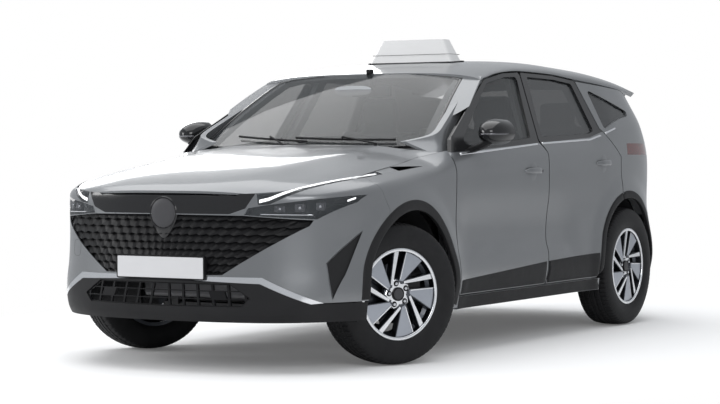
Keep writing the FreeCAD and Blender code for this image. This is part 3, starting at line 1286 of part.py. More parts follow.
wiper_shares = [((0.72, 0.05), (-0.10, 0.10), (0.60, -0.01)), ((0.02, 0.06), (-0.66, 0.10), (-0.12, -0.01))]
wipers = []
for shares in wiper_shares:
    arm = wiper(*shares).cut(cowl).cut(cowl.translated(vec(0, 0, seat)))
    wipers.append(max(arm.Solids, key=lambda solid: solid.Volume))
keep("wipers", *wipers)

mirror_shares = [(-0.14463, 0.7044), (-0.14802, 0.7421), (-0.14011, 0.7704), (-0.11751, 0.7767),
    (-0.11299, 0.7107), (-0.12655, 0.6887)]
stalk_shares = [(-0.14463, 0.6761), (-0.14463, 0.7107), (-0.12203, 0.7107), (-0.12655, 0.6761)]
housing = side_pad(mirror_shares, size["mirror_inner_x"], size["mirror_outer_x"], 4 * over)
housing = housing.makeFillet(3 * over, [edge for edge in housing.Edges if edge.BoundBox.XLength < over])
stalk = side_pad(stalk_shares, size["mirror_root_x"], size["mirror_inner_x"] + 4 * over, over)
mirror = housing.fuse(stalk).removeSplitter()
mirror = max(mirror.cut(cabin_skin).Solids, key=lambda solid: solid.Volume).translated(vec(seat, 0, 0))
pair("door_mirror", mirror)

inner_mirror_shares = ((-0.1308, 0.1308), (-0.04294, -0.03729), (0.8604, 0.8962))
mirror_stem_shares = ((-0.0131, 0.0131), (-0.04972, -0.04068), (0.8742, 0.956))
inner_mirror = share_block(inner_mirror_shares).fuse(share_block(mirror_stem_shares))
screen_cut = screen_slab(-0.3, 0.3, -10 * over, 10 * over + glass + 5 * seat)
inner_mirror = min(inner_mirror.cut(screen_cut).cut(roof_clear).Solids, key=lambda solid: -solid.Volume)
keep("interior_mirror", inner_mirror)

doc.recompute()
for item in parts.values():
    if item.Shape.isNull() or not item.Shape.isValid() or {"Invalid", "Error"} & set(item.State):
        raise RuntimeError(item.Label + " has no valid shape")
for name, item in parts.items():
    item.Shape.exportStep("parts/" + name + ".step")
    print(name, len(item.Shape.Solids), round(item.Shape.Volume / 1e6, 2))
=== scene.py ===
import bpy, bmesh, json, math
from mathutils import Vector, Matrix, Quaternion
from mathutils.bvhtree import BVHTree

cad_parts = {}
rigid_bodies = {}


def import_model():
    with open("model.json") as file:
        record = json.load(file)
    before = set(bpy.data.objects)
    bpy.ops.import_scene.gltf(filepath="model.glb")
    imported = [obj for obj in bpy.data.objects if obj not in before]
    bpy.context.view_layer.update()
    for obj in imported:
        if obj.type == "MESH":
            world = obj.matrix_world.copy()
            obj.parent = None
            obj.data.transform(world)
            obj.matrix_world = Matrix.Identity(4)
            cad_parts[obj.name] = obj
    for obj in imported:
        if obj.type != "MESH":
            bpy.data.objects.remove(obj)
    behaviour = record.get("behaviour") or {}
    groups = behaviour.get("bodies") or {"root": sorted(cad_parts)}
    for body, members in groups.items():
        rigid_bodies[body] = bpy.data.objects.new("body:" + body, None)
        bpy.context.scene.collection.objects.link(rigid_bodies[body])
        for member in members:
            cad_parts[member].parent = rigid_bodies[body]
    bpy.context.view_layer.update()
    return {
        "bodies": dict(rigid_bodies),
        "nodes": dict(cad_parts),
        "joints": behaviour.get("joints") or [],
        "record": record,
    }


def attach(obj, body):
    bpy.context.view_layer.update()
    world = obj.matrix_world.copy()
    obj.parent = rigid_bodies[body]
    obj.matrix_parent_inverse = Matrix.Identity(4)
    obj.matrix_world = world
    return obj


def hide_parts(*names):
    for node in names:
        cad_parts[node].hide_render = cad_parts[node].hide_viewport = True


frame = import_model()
nodes = frame["nodes"]
print("frame loaded")

scene = bpy.context.scene
scene.view_settings.view_transform = "Standard"

# camera and stage
view = {"place": (6.0956, -10.5071, 1.0950), "target": (1.8831, -3.4621, 0.8746), "roll": -0.204,
        "lens": 106.14}
studio = {"floorSize": 60, "lift": 0.10, "floorColour": (0.80, 0.80, 0.80), "soft": 0.60, "keyPower": 540,
          "fillPower": 150, "sidePower": 160}


def makeCamera():
    data = bpy.data.cameras.new("photoCamera")
    data.lens = view["lens"]
    data.sensor_width = 36
    data.clip_end = 200
    cam = bpy.data.objects.new("photoCamera", data)
    place = Vector(view["place"])
    aim = (Vector(view["target"]) - place).to_track_quat("-Z", "Y")
    cam.location = place
    cam.rotation_mode = "QUATERNION"
    cam.rotation_quaternion = aim @ Quaternion((0, 0, 1), math.radians(view["roll"]))
    scene.collection.objects.link(cam)
    scene.camera = cam


def makeLamp(name, place, target, sizeX, sizeY, power):
    data = bpy.data.lights.new(name, "AREA")
    data.shape = "RECTANGLE"
    data.size = sizeX
    data.size_y = sizeY
    data.energy = power
    lamp = bpy.data.objects.new(name, data)
    lamp.location = place
    lamp.rotation_mode = "QUATERNION"
    lamp.rotation_quaternion = (Vector(target) - Vector(place)).to_track_quat("-Z", "Y")
    scene.collection.objects.link(lamp)


class Socket:
    # wraps a shader socket so that sums and products read as plain maths
    def __init__(self, mat, out):
        self.mat = mat
        self.out = out

    def math(self, operation, a, b=None, clamp=False):
        values = {0: a} if b is None else {0: a, 1: b}
        return self.mat.node("ShaderNodeMath", {"operation": operation, "use_clamp": clamp}, values)

    def __add__(self, other):
        return self.math("ADD", self, other)

    def __radd__(self, other):
        return self.math("ADD", other, self)

    def __sub__(self, other):
        return self.math("SUBTRACT", self, other)

    def __rsub__(self, other):
        return self.math("SUBTRACT", other, self)

    def __mul__(self, other):
        return self.math("MULTIPLY", self, other)

    def __rmul__(self, other):
        return self.math("MULTIPLY", other, self)

    def power(self, other):
        return self.math("POWER", self, other)

    def above(self, low, high):
        return self.mat.node("ShaderNodeMapRange", {"clamp": True},
                             {0: self, 1: low, 2: high, 3: 0.0, 4: 1.0})

    def sine(self):
        return self.math("SINE", self)

    def most(self, other):
        return self.math("MAXIMUM", self, other)


class Finish:
    # one procedural material
    def __init__(self, name, **values):
        self.material = bpy.data.materials.new(name)
        self.material.use_nodes = True
        self.tree = self.material.node_tree
        self.tree.nodes.clear()
        self.output = self.tree.nodes.new("ShaderNodeOutputMaterial")
        self.shader = self.tree.nodes.new("ShaderNodeBsdfPrincipled")
        self.tree.links.new(self.shader.outputs[0], self.output.inputs[0])
        for key, value in values.items():
            self.set(key, value)

    def set(self, key, value):
        names = {"colour": "Base Color", "rough": "Roughness", "metal": "Metallic", "coat": "Coat Weight",
                 "coatRough": "Coat Roughness", "ior": "IOR", "glow": "Emission Color",
                 "glowPower": "Emission Strength", "sheen": "Sheen Weight",
                 "sheenRough": "Sheen Roughness", "shine": "Specular IOR Level", "normal": "Normal",
                 "alpha": "Alpha"}
        target = self.shader.inputs[names[key]]
        if isinstance(value, Socket):
            self.tree.links.new(value.out, target)
        elif isinstance(value, tuple) and len(value) == 3:
            target.default_value = (*value, 1.0)
        else:
            target.default_value = value

    def node(self, kind, settings=None, values=None, output=0):
        made = self.tree.nodes.new(kind)
        for key, value in (settings or {}).items():
            if key == "stops":
                ramp = made.color_ramp
                for index, (place, colour) in enumerate(value):
                    stop = ramp.elements[index] if index < 2 else ramp.elements.new(place)
                    stop.position = place
                    stop.color = (*colour, 1.0) if len(colour) == 3 else colour
            else:
                setattr(made, key, value)
        for key, value in (values or {}).items():
            target = made.inputs[key]
            if isinstance(value, Socket):
                self.tree.links.new(value.out, target)
            elif isinstance(value, tuple) and len(value) == 3 and len(target.default_value) == 4:
                target.default_value = (*value, 1.0)
            else:
                target.default_value = value
        return Socket(self, made.outputs[output])

    def place(self):
        return self.node("ShaderNodeTexCoord", output=3)

    def split(self, vector):
        made = self.tree.nodes.new("ShaderNodeSeparateXYZ")
        self.tree.links.new(vector.out, made.inputs[0])
        return [Socket(self, out) for out in made.outputs]

    def noise(self, scale, detail=3.0, rough=0.5, vector=None):
        vector = vector or self.place()
        return self.node("ShaderNodeTexNoise", {}, {"Vector": vector, "Scale": scale, "Detail": detail,
                                                    "Roughness": rough})

    def cells(self, scale, feature="F1", vector=None, output=0):
        vector = vector or self.place()
        return self.node("ShaderNodeTexVoronoi", {"feature": feature},
                         {"Vector": vector, "Scale": scale}, output)

    def mix(self, factor, first, second):
        return self.node("ShaderNodeMix", {"data_type": "RGBA"}, {0: factor, 6: first, 7: second}, 2)

    def bump(self, heights, strength, distance):
        self.set("normal", self.node("ShaderNodeBump", {}, {"Height": heights, "Strength": strength,
                                                            "Distance": distance}))
        return self


def makeStage():
    world = bpy.data.worlds.new("studio")
    scene.world = world
    world.use_nodes = True
    tree = world.node_tree
    tree.nodes.clear()
    out = tree.nodes.new("ShaderNodeOutputWorld")
    seen = tree.nodes.new("ShaderNodeBackground")
    soft = tree.nodes.new("ShaderNodeBackground")
    seen.inputs[0].default_value = (1, 1, 1, 1)
    seen.inputs[1].default_value = 1.0
    soft.inputs[0].default_value = (0.93, 0.96, 1.0, 1)
    soft.inputs[1].default_value = studio["soft"]
    path = tree.nodes.new("ShaderNodeLightPath")
    pick = tree.nodes.new("ShaderNodeMixShader")
    tree.links.new(path.outputs["Is Camera Ray"], pick.inputs[0])
    tree.links.new(soft.outputs[0], pick.inputs[1])
    tree.links.new(seen.outputs[0], pick.inputs[2])
    tree.links.new(pick.outputs[0], out.inputs[0])
    mesh = bpy.data.meshes.new("studioFloor")
    half = studio["floorSize"] / 2
    corners = [(-half, -half, 0), (half, -half, 0), (half, half, 0), (-half, half, 0)]
    mesh.from_pydata(corners, [], [(0, 1, 2, 3)])
    floor = bpy.data.objects.new("studioFloor", mesh)
    scene.collection.objects.link(floor)
    mat = Finish("floorPaper", colour=studio["floorColour"], rough=0.9, shine=0.1)
    tone = mat.noise(0.8)
    mat.set("colour", mat.mix(tone, (0.79, 0.79, 0.79), (0.82, 0.82, 0.82)))
    # the paper shows white to the camera away from the car and keeps the shadow under it
    path = mat.tree.nodes.new("ShaderNodeLightPath")
    lift = mat.node("ShaderNodeEmission", {}, {"Color": (1, 1, 1), "Strength": studio["lift"]})
    lit = mat.node("ShaderNodeAddShader", {}, {0: Socket(mat, mat.shader.outputs[0]), 1: lift})
    white = mat.node("ShaderNodeEmission", {}, {"Color": (1, 1, 1), "Strength": 1.0})
    x, y, z = mat.split(mat.place())
    reach = ((x * x) * 0.8 + (y - 0.2) * (y - 0.2) * 0.35).power(0.5)
    far = mat.node("ShaderNodeMixShader", {}, {0: reach.above(1.5, 2.6), 1: lit, 2: white})
    plain = mat.shader.outputs[0]
    pick = mat.tree.nodes.new("ShaderNodeMixShader")
    mat.tree.links.new(path.outputs["Is Camera Ray"], pick.inputs[0])
    mat.tree.links.new(plain, pick.inputs[1])
    mat.tree.links.new(far.out, pick.inputs[2])
    mat.tree.links.new(pick.outputs[0], mat.output.inputs[0])
    mesh.materials.append(mat.material)
    makeLamp("overhead", (-1.0, -0.5, 7.0), (0, 0, 0), 11.0, 9.0, studio["keyPower"])
    makeLamp("frontLeft", (5.5, -6.5, 3.6), (0, -1.0, 0.6), 3.6, 2.6, studio["fillPower"])
    makeLamp("frontRight", (-5.5, -5.0, 3.0), (0, -1.2, 0.6), 3.0, 2.4, studio["sidePower"])
    makeLamp("rear", (-6.0, 5.5, 3.6), (0, 1.0, 0.8), 5.0, 2.4, studio["sidePower"])


makeCamera()
makeStage()
print("camera and stage")

# finishes
tones = {"silver": (0.185, 0.192, 0.200), "silverDeep": (0.150, 0.156, 0.163),
         "black": (0.012, 0.012, 0.013)}
paint = {"metal": 0.62, "coat": 0.55, "rough": 0.29}
# the window frames' lower line: its height at y 0, its slope, and how much more it climbs behind a place
windowLine = {"height": 1.0906, "slope": 0.0475, "bend": 0.872, "climb": 0.14, "soft": 0.004}


def flakes(mat, light, deep):
    # fine metallic flake over a slow drift of tone
    cell = mat.cells(2600)
    spark = mat.split(mat.cells(2600, output=1))[0]
    drift = mat.noise(1.6, 2.0)
    return mat.mix(drift * 0.5 + spark * 0.35 + cell * 0.15, deep, light)


def paintFinish(name):
    mat = Finish(name, metal=paint["metal"], coat=paint["coat"], coatRough=0.05, ior=1.5)
    mat.set("colour", flakes(mat, tones["silver"], tones["silverDeep"]))
    mat.set("rough", mat.noise(700, 2.0) * 0.08 + paint["rough"])
    return mat


def doorFinish(name):
    # painted below the window line, gloss black on the window frames
    mat = Finish(name, rough=0.3, coatRough=0.04, shine=0.3)
    x, y, z = mat.split(mat.place())
    line = y * windowLine["slope"] + windowLine["height"]
    line = line + (y - windowLine["bend"]).most(0.0) * windowLine["climb"]
    frame = (z - line).above(0.0, windowLine["soft"])
    flake = flakes(mat, tones["silver"], tones["silverDeep"])
    mat.set("colour", mat.mix(frame, flake, tones["black"]))
    mat.set("metal", (1.0 - frame) * paint["metal"])
    mat.set("coat", paint["coat"] - frame * 0.30)
    mat.set("rough", mat.noise(700, 2.0) * 0.08 + (paint["rough"] - frame * 0.14))
    return mat


def glossBlackFinish(name):
    mat = Finish(name, coat=0.45, coatRough=0.03, ior=1.5, shine=0.25)
    mat.set("colour", mat.mix(mat.noise(3.0), (0.006, 0.006, 0.007), (0.011, 0.011, 0.012)))
    mat.set("rough", mat.noise(40, 4.0) * 0.06 + 0.12)
    return mat


def grainFinish(name, low, high, rough=0.52, grain=900, depth=0.00025):
    # moulded plastic with a fine leather-like grain
    mat = Finish(name, ior=1.46, shine=0.16)
    mat.set("colour", mat.mix(mat.noise(5.0, 4.0), low, high))
    mat.set("rough", mat.noise(24, 4.0) * 0.12 + (rough - 0.06))
    return mat.bump(mat.cells(grain, "SMOOTH_F1"), 0.35, depth)


def brightFinish(name, low=(0.62, 0.63, 0.65), high=(0.74, 0.75, 0.77), rough=0.16):
    mat = Finish(name, metal=1.0, coat=0.3, coatRough=0.05)
    mat.set("colour", mat.mix(mat.noise(6.0), low, high))
    mat.set("rough", mat.noise(220, 3.0) * 0.08 + (rough - 0.04))
    return mat


def rubberFinish(name):
    mat = Finish(name, ior=1.45, shine=0.20)
    mat.set("colour", mat.mix(mat.noise(18.0, 5.0), (0.009, 0.009, 0.010), (0.018, 0.018, 0.019)))
    mat.set("rough", mat.noise(60, 4.0) * 0.14 + 0.50)
    return mat.bump(mat.noise(900, 3.0), 0.25, 0.0003)


def glassFinish(name, colour, dark, see):
    # a thin pane: partly see-through, with a clear reflection on it
    mat = Finish(name, rough=0.03, coat=0.4, coatRough=0.01, ior=1.5, shine=0.5)
    mat.set("colour", mat.mix(mat.noise(2.0), colour, dark))
    mat.set("alpha", 1.0 - see)
    mat.material.surface_render_method = "DITHERED"
    return mat


def metalFinish(name, low, high, rough, metal=0.9):
    mat = Finish(name, metal=metal)
    mat.set("colour", mat.mix(mat.noise(9.0, 5.0), low, high))
    mat.set("rough", mat.noise(80, 4.0) * 0.2 + (rough - 0.1))
    return mat.bump(mat.noise(380, 4.0), 0.2, 0.0004)


def lensFinish(name, colour, see):
    mat = Finish(name, rough=0.05, coat=1.0, coatRough=0.01, ior=1.5)
    mat.set("colour", mat.mix(mat.noise(3.0), colour, tuple(0.8 * c for c in colour)))
    mat.set("alpha", 1.0 - see)
    return mat


def redLensFinish(name):
    mat = Finish(name, rough=0.08, coat=0.5, coatRough=0.02, shine=0.3)
    x, y, z = mat.split(mat.place())
    ribs = (z * 1400).sine() * 0.5 + 0.5
    mat.set("colour", mat.mix(ribs * 0.4 + mat.noise(5.0) * 0.4, (0.050, 0.004, 0.004),
                              (0.120, 0.012, 0.010)))
    return mat


def signFinish(name):
    mat = Finish(name, rough=0.36, coat=0.3, coatRough=0.1)
    mat.set("colour", mat.mix(mat.noise(8.0), (0.60, 0.60, 0.60), (0.64, 0.64, 0.64)))
    return mat.bump(mat.noise(300), 0.08, 0.0002)


def clothFinish(name, low, high, weave=1900):
    mat = Finish(name, rough=0.9, sheen=0.35, sheenRough=0.5)
    x, y, z = mat.split(mat.place())
    across = (x * weave).sine() * (z * weave + y * weave).sine()
    mat.set("colour", mat.mix(across * 0.3 + mat.noise(14.0, 5.0) * 0.7, low, high))
    return mat.bump(across * 0.5 + mat.noise(800), 0.5, 0.0004)


def lightFinish(name, power, low=(0.90, 0.91, 0.93), high=(1.0, 1.0, 1.0)):
    mat = Finish(name, rough=0.18, coat=0.8, coatRough=0.03, glowPower=power)
    tone = mat.mix(mat.noise(30.0), low, high)
    mat.set("colour", tone)
    mat.set("glow", tone)
    return mat


finishes = {
    "light": lightFinish("runningLight", 0.55),
    "lampCell": brightFinish("lampCell", (0.10, 0.10, 0.11), (0.20, 0.20, 0.21), 0.22),
    "lampEye": brightFinish("lampEye", (0.42, 0.43, 0.45), (0.62, 0.63, 0.66), 0.12),
    "plate": grainFinish("plateFace", (0.55, 0.55, 0.56), (0.60, 0.60, 0.61), 0.40, 300, 0.00005),
    "paint": paintFinish("bodyPaint"),
    "door": doorFinish("doorPaint"),
    "gloss": glossBlackFinish("glossBlack"),
    "black": grainFinish("blackTrim", (0.011, 0.011, 0.012), (0.019, 0.019, 0.020)),
    "satin": grainFinish("satinBlack", (0.006, 0.006, 0.0065), (0.010, 0.010, 0.011), 0.36, 1400, 0.0001),
    "cup": paintFinish("cupPaint"),
    "facet": grainFinish("facetGrey", (0.045, 0.045, 0.048), (0.065, 0.065, 0.069), 0.42),
    "bright": brightFinish("brightTrim"),
    "tyre": rubberFinish("tyreRubber"),
    "alloy": brightFinish("wheelAlloy", (0.060, 0.066, 0.075), (0.095, 0.10, 0.115), 0.40),
    "fin": brightFinish("finAlloy", (0.30, 0.32, 0.36), (0.38, 0.40, 0.44), 0.30),
    "mirror": brightFinish("mirrorGlass", (0.78, 0.79, 0.80), (0.84, 0.85, 0.86), 0.05),
    "machined": brightFinish("machinedAlloy", (0.66, 0.67, 0.69), (0.80, 0.81, 0.83), 0.20),
    "windscreen": glassFinish("screenGlass", (0.030, 0.034, 0.036), (0.040, 0.044, 0.046), 0.62),
    "glass": glassFinish("doorGlass", (0.035, 0.038, 0.040), (0.050, 0.054, 0.056), 0.60),
    "tint": glassFinish("tintedGlass", (0.022, 0.024, 0.026), (0.034, 0.036, 0.038), 0.36),
    "lens": lensFinish("clearLens", (0.10, 0.11, 0.12), 0.72),
    "redLens": redLensFinish("redLens"),
    "engine": metalFinish("castMetal", (0.10, 0.10, 0.105), (0.16, 0.16, 0.165), 0.55),
    "exhaust": metalFinish("exhaustSteel", (0.20, 0.19, 0.17), (0.32, 0.30, 0.28), 0.45),
    "chassis": metalFinish("chassisPaint", (0.012, 0.012, 0.013), (0.024, 0.024, 0.026), 0.5, 0.1),
    "floor": metalFinish("floorPaint", (0.030, 0.031, 0.033), (0.050, 0.052, 0.055), 0.6, 0.1),
    "cabin": grainFinish("cabinPlastic", (0.022, 0.022, 0.024), (0.034, 0.034, 0.037), 0.6, 700),
    "cloth": clothFinish("seatCloth", (0.030, 0.030, 0.033), (0.060, 0.060, 0.065)),
    "sign": signFinish("signPlastic"),
}
nodeFinish = {
    "paint": ["roof_panel", "side_frame_left", "side_frame_right", "front_fender_left", "front_fender_right",
              "front_bumper", "hood", "quarter_panel_left", "quarter_panel_right", "tailgate", "rear_bumper"],
    "door": ["front_door_left", "front_door_right", "rear_door_left", "rear_door_right"],
    "windscreen": ["windscreen"],
    "glass": ["front_door_glass_left", "front_door_glass_right"],
    "tint": ["rear_door_glass_left", "rear_door_glass_right", "tailgate_glass", "quarter_glasses"],
    "lens": ["headlamps"], "redLens": ["tail_lamps", "tailgate_lamps"], "bright": ["bumper_strip"],
    "gloss": ["nose_band", "door_mirror_left", "door_mirror_right"],
    "satin": ["grille"],
    "black": ["front_valance", "cowl_panel", "wipers", "wheel_liners", "interior_mirror"],
    "tyre": ["tyre_front_left", "tyre_front_right", "tyre_rear_left", "tyre_rear_right"],
    "alloy": ["rim_front_left", "rim_front_right", "rim_rear_left", "rim_rear_right"],
    "engine": ["engine_block"], "exhaust": ["exhaust"],
    "chassis": ["knuckle_left", "knuckle_right", "front_subframe", "rear_axle_beam"],
    "floor": ["floor_pan", "front_structure"], "cabin": ["dashboard", "steering_wheel"],
    "cloth": ["front_seats", "rear_seat"], "sign": ["taxi_sign"],
}
for key, names in nodeFinish.items():
    for name in names:
        mesh = nodes[name].data
        mesh.materials.clear()
        mesh.materials.append(finishes[key].material)
print("node finishes")


# meshes laid on the car's surfaces
class Caster:
    # finds the outer skin of some CAD nodes from the side, the front or above
    def __init__(self, *names):
        points = []
        faces = []
        for name in names:
            mesh = nodes[name].data
            start = len(points)
            points += [tuple(v.co) for v in mesh.vertices]
            faces += [[start + i for i in poly.vertices] for poly in mesh.polygons]
        self.tree = BVHTree.FromPolygons(points, faces)

    def side(self, word, y, z):
        sign = 1 if word == "left" else -1
        spot, normal = self.tree.ray_cast(Vector((sign * 3, y, z)), Vector((-sign, 0, 0)))[:2]
        return (spot, normal) if spot and abs(spot.x) > 0.45 else None

    def front(self, x, z):
        spot, normal = self.tree.ray_cast(Vector((x, -4, z)), Vector((0, 1, 0)))[:2]
        return (spot, normal) if spot else None

    def rear(self, x, z):
        spot, normal = self.tree.ray_cast(Vector((x, 4, z)), Vector((0, -1, 0)))[:2]
        return (spot, normal) if spot else None

    def above(self, x, y):
        spot, normal = self.tree.ray_cast(Vector((x, y, 3)), Vector((0, 0, -1)))[:2]
        return (spot, normal) if spot else None


def addMesh(name, points, faces, finish, body, slotName, smooth=True):
    mesh = bpy.data.meshes.new(name)
    mesh.from_pydata([tuple(p) for p in points], [], faces)
    work = bmesh.new()
    work.from_mesh(mesh)
    bmesh.ops.remove_doubles(work, verts=work.verts, dist=0.00001)
    bmesh.ops.recalc_face_normals(work, faces=work.faces)
    work.to_mesh(mesh)
    work.free()
    mesh.materials.append(finishes[finish].material)
    if smooth:
        for poly in mesh.polygons:
            poly.use_smooth = True
    piece = bpy.data.objects.new(name, mesh)
    scene.collection.objects.link(piece)
    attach(piece, body)
    return piece


def sharpen(piece, angle=35):
    piece.data.set_sharp_from_angle(angle=math.radians(angle))


def gridFaces(rows, cols, start=0):
    corners = [start + i * cols + j for i in range(rows - 1) for j in range(cols - 1)]
    return [(here, here + 1, here + cols + 1, here + cols) for here in corners]


def merged(parts):
    points = []
    faces = []
    for somePoints, someFaces in parts:
        start = len(points)
        points += somePoints
        faces += [tuple(start + i for i in face) for face in someFaces]
    return points, faces


def laid(spots, heights, sunk=0.004):
    # a sheet over a grid of (place, normal): the outer rows stand at the given heights
    rows = len(spots)
    cols = len(spots[0])
    if any(spot is None for row in spots for spot in row):
        spots = patched(spots)
    points = []
    for i, row in enumerate(spots):
        for j, (place, normal) in enumerate(row):
            rise = heights[i]
            if j in (0, cols - 1):
                rise = min(rise, heights[0])
            points.append(place + normal * rise)
    faces = gridFaces(rows, cols)
    start = len(points)
    points += [place - normal * sunk for row in spots for place, normal in row]
    faces += gridFaces(rows, cols, start)
    border = list(range(cols)) + [i * cols + cols - 1 for i in range(1, rows)]
    border += [(rows - 1) * cols + j for j in range(cols - 2, -1, -1)]
    border += [i * cols for i in range(rows - 2, 0, -1)]
    for a, b in zip(border, border[1:] + border[:1]):
        faces.append((a, b, start + b, start + a))
    return points, faces


def patched(spots):
    # a place that missed the skin takes the nearest one that hit
    found = [(i, j, spot) for i, row in enumerate(spots) for j, spot in enumerate(row) if spot]
    full = []
    for i, row in enumerate(spots):
        line = []
        for j, spot in enumerate(row):
            if spot is None:
                near = sorted(found, key=lambda f: (f[0] - i) ** 2 + (f[1] - j) ** 2)[:1]
                spot = near[0][2]
            line.append(spot)
        full.append(line)
    return full


def sweep(path, outline, closed=False, ups=None):
    # carries a flat outline (across, up) along a path of places with up directions
    points = []
    count = len(outline)
    for i, place in enumerate(path):
        before = path[i - 1] if i or closed else place
        after = path[(i + 1) % len(path)] if i < len(path) - 1 or closed else place
        along = (after - before).normalized()
        up = ups[i] if ups else Vector((0, 0, 1))
        across = along.cross(up).normalized()
        up = across.cross(along).normalized()
        points += [place + across * a + up * b for a, b in outline]
    faces = []
    spans = len(path) if closed else len(path) - 1
    for i in range(spans):
        here = i * count
        there = ((i + 1) % len(path)) * count
        for j in range(count):
            k = (j + 1) % count
            faces.append((here + j, here + k, there + k, there + j))
    if not closed:
        faces.append(tuple(range(count)))
        faces.append(tuple(range((len(path) - 1) * count, len(path) * count)))
    return points, faces


def turnsOf(count):
    return [2 * math.pi * i / count for i in range(count)]


def squaredOval(turn, halfWide, halfTall, powerWide, powerTall):
    # a point on an oval whose corners fill out as the powers fall below 1
    c = math.cos(turn)
    s = math.sin(turn)
    return (math.copysign(abs(c) ** powerWide, c) * halfWide,
            math.copysign(abs(s) ** powerTall, s) * halfTall)


def roundBar(wide, tall, count=12, power=2.6):
    return [squaredOval(turn, wide / 2, tall / 2, 2 / power, 2 / power) for turn in turnsOf(count)]


def ringFaces(rings, size, first=True):
    # joins rings of points one to the next and closes the last one, and the first one if asked
    faces = [(r * size + i, r * size + (i + 1) % size, (r + 1) * size + (i + 1) % size, (r + 1) * size + i)
             for r in range(rings - 1) for i in range(size)]
    if first:
        faces.append(tuple(range(size)))
    return faces + [tuple(range((rings - 1) * size, rings * size))]


def lineOf(points, share):
    # the value at a place along a broken line of (place, value)
    for (a, p), (b, q) in zip(points, points[1:]):
        if share <= b:
            return p + (q - p) * max(0.0, (share - a) / (b - a))
    return points[-1][1]


sides = (("left", 1), ("right", -1))
sideSkin = {word: Caster("front_fender_" + word, "front_bumper", "quarter_panel_" + word, "rear_bumper",
                         "side_frame_" + word) for word, sign in sides}
doorSkin = {(place, word): Caster("%s_door_%s" % (place, word)) for place in ("front", "rear")
            for word, sign in sides}
noseSkin = Caster("front_bumper", "front_valance", "bumper_strip", "nose_band", "grille", "headlamps",
                  "front_fender_left", "front_fender_right", "hood")
tailSkin = Caster("tailgate", "rear_bumper", "tail_lamps", "tailgate_lamps", "tailgate_glass")
print("surface finders")

# arch cladding: a dark ring round each wheel opening, split at the rear door's edge
arches = {"front": {"axle": -1.2975, "inner": 0.4145, "outer": 0.466, "spans": [("body", -11, 196)]},
          "rear": {"axle": 1.3675, "inner": 0.4145, "outer": 0.458,
                   "spans": [("body", -14, 101.5), ("door", 103, 185)]},
          "height": 0.3555, "rise": 0.007}


def archRing(place, word, sign, owner, low, high):
    data = arches[place]
    skin = doorSkin["rear", word] if owner == "door" else sideSkin[word]
    radii = [data["inner"], data["inner"] + 0.004]
    radii += [data["inner"] + 0.004 + (data["outer"] - data["inner"] - 0.008) * i / 4 for i in range(1, 5)]
    radii.append(data["outer"])
    rise = arches["rise"]
    heights = [0.0055, rise, rise, rise, rise * 0.9, rise * 0.8, 0.0005]
    count = max(12, int((high - low) / 2.2))
    spots = []
    for radius in radii:
        row = []
        for i in range(count + 1):
            turn = math.radians(low + (high - low) * i / count)
            y = data["axle"] + radius * math.cos(turn)
            z = arches["height"] + radius * math.sin(turn)
            hit = None
            for grow in (0.0, 0.004, 0.008, 0.014):
                reach = max(radius, 0.4215) + grow
                hit = skin.side(word, data["axle"] + reach * math.cos(turn),
                                arches["height"] + reach * math.sin(turn))
                if hit and abs(hit[0].x) > 0.80:
                    break
                hit = None
            if hit:
                hit = (Vector((hit[0].x, y, z)), Vector((sign, 0, 0)))
            row.append(hit)
        spots.append(row)
    points, faces = laid(spots, heights, 0.012)
    body = "rear_door_" + word if owner == "door" else "car_body"
    name = "arch_trim_%s_%s_%s" % (place, owner, word)
    sharpen(addMesh(name, points, faces, "black", body, "black_trim"), 50)


for word, sign in sides:
    for place in ("front", "rear"):
        for owner, low, high in arches[place]["spans"]:
            archRing(place, word, sign, owner, low, high)
print("arch cladding")

# sill cladding: on the sill, the doors' lower edges and the stub behind the front wheel
sill = {"top": [(-0.86, 0.386), (-0.81, 0.389), (0.22, 0.441), (0.60, 0.452), (0.93, 0.458)],
        "spans": {"front": (-0.797, 0.2135), "rear": (0.2305, 0.905)}, "doorLow": 0.319, "rise": 0.007}


def sillSheet(name, skin, word, sign, body, y0, y1, low, high, columns, rise, lowEnd):
    rows = 7
    spots = []
    for i in range(rows + 1):
        share = [0, 0.03, 0.2, 0.4, 0.6, 0.8, 0.97, 1][i]
        row = []
        for j in range(columns + 1):
            y = y0 + (y1 - y0) * j / columns
            z = low(y) + (high(y) - low(y)) * share
            hit = skin.side(word, y, z)
            if hit and abs(hit[0].x) > 0.8:
                hit = (Vector((hit[0].x, y, z)), Vector((sign, 0, 0)))
            else:
                hit = None
            row.append(hit)
        spots.append(row)
    heights = [lowEnd, rise, rise, rise, rise, rise, rise, 0.0005]
    points, faces = laid(spots, heights, 0.003)
    sharpen(addMesh(name, points, faces, "black", body, "black_trim"), 50)


for word, sign in sides:
    for place, (y0, y1) in sill["spans"].items():
        sillSheet("door_sill_trim_%s_%s" % (place, word), doorSkin[place, word], word, sign,
                  "%s_door_%s" % (place, word), y0, y1, lambda y: sill["doorLow"],
                  lambda y: lineOf(sill["top"], y), 40, sill["rise"], 0.002)
    sillSheet("sill_trim_" + word, sideSkin[word], word, sign, "car_body", -0.808, 0.93,
              lambda y: 0.2415, lambda y: 0.3055, 60, 0.004, 0.001)
print("sill cladding")

# the bright line under the windows
belt = {"line": [(-0.876, 1.049), (-0.5, 1.067), (0.208, 1.110), (0.872, 1.132), (1.049, 1.161),
                 (1.279, 1.208)],
        "front": (-0.745, 0.185), "rear": (0.197, 1.035), "tall": 0.011, "drop": 0.004}


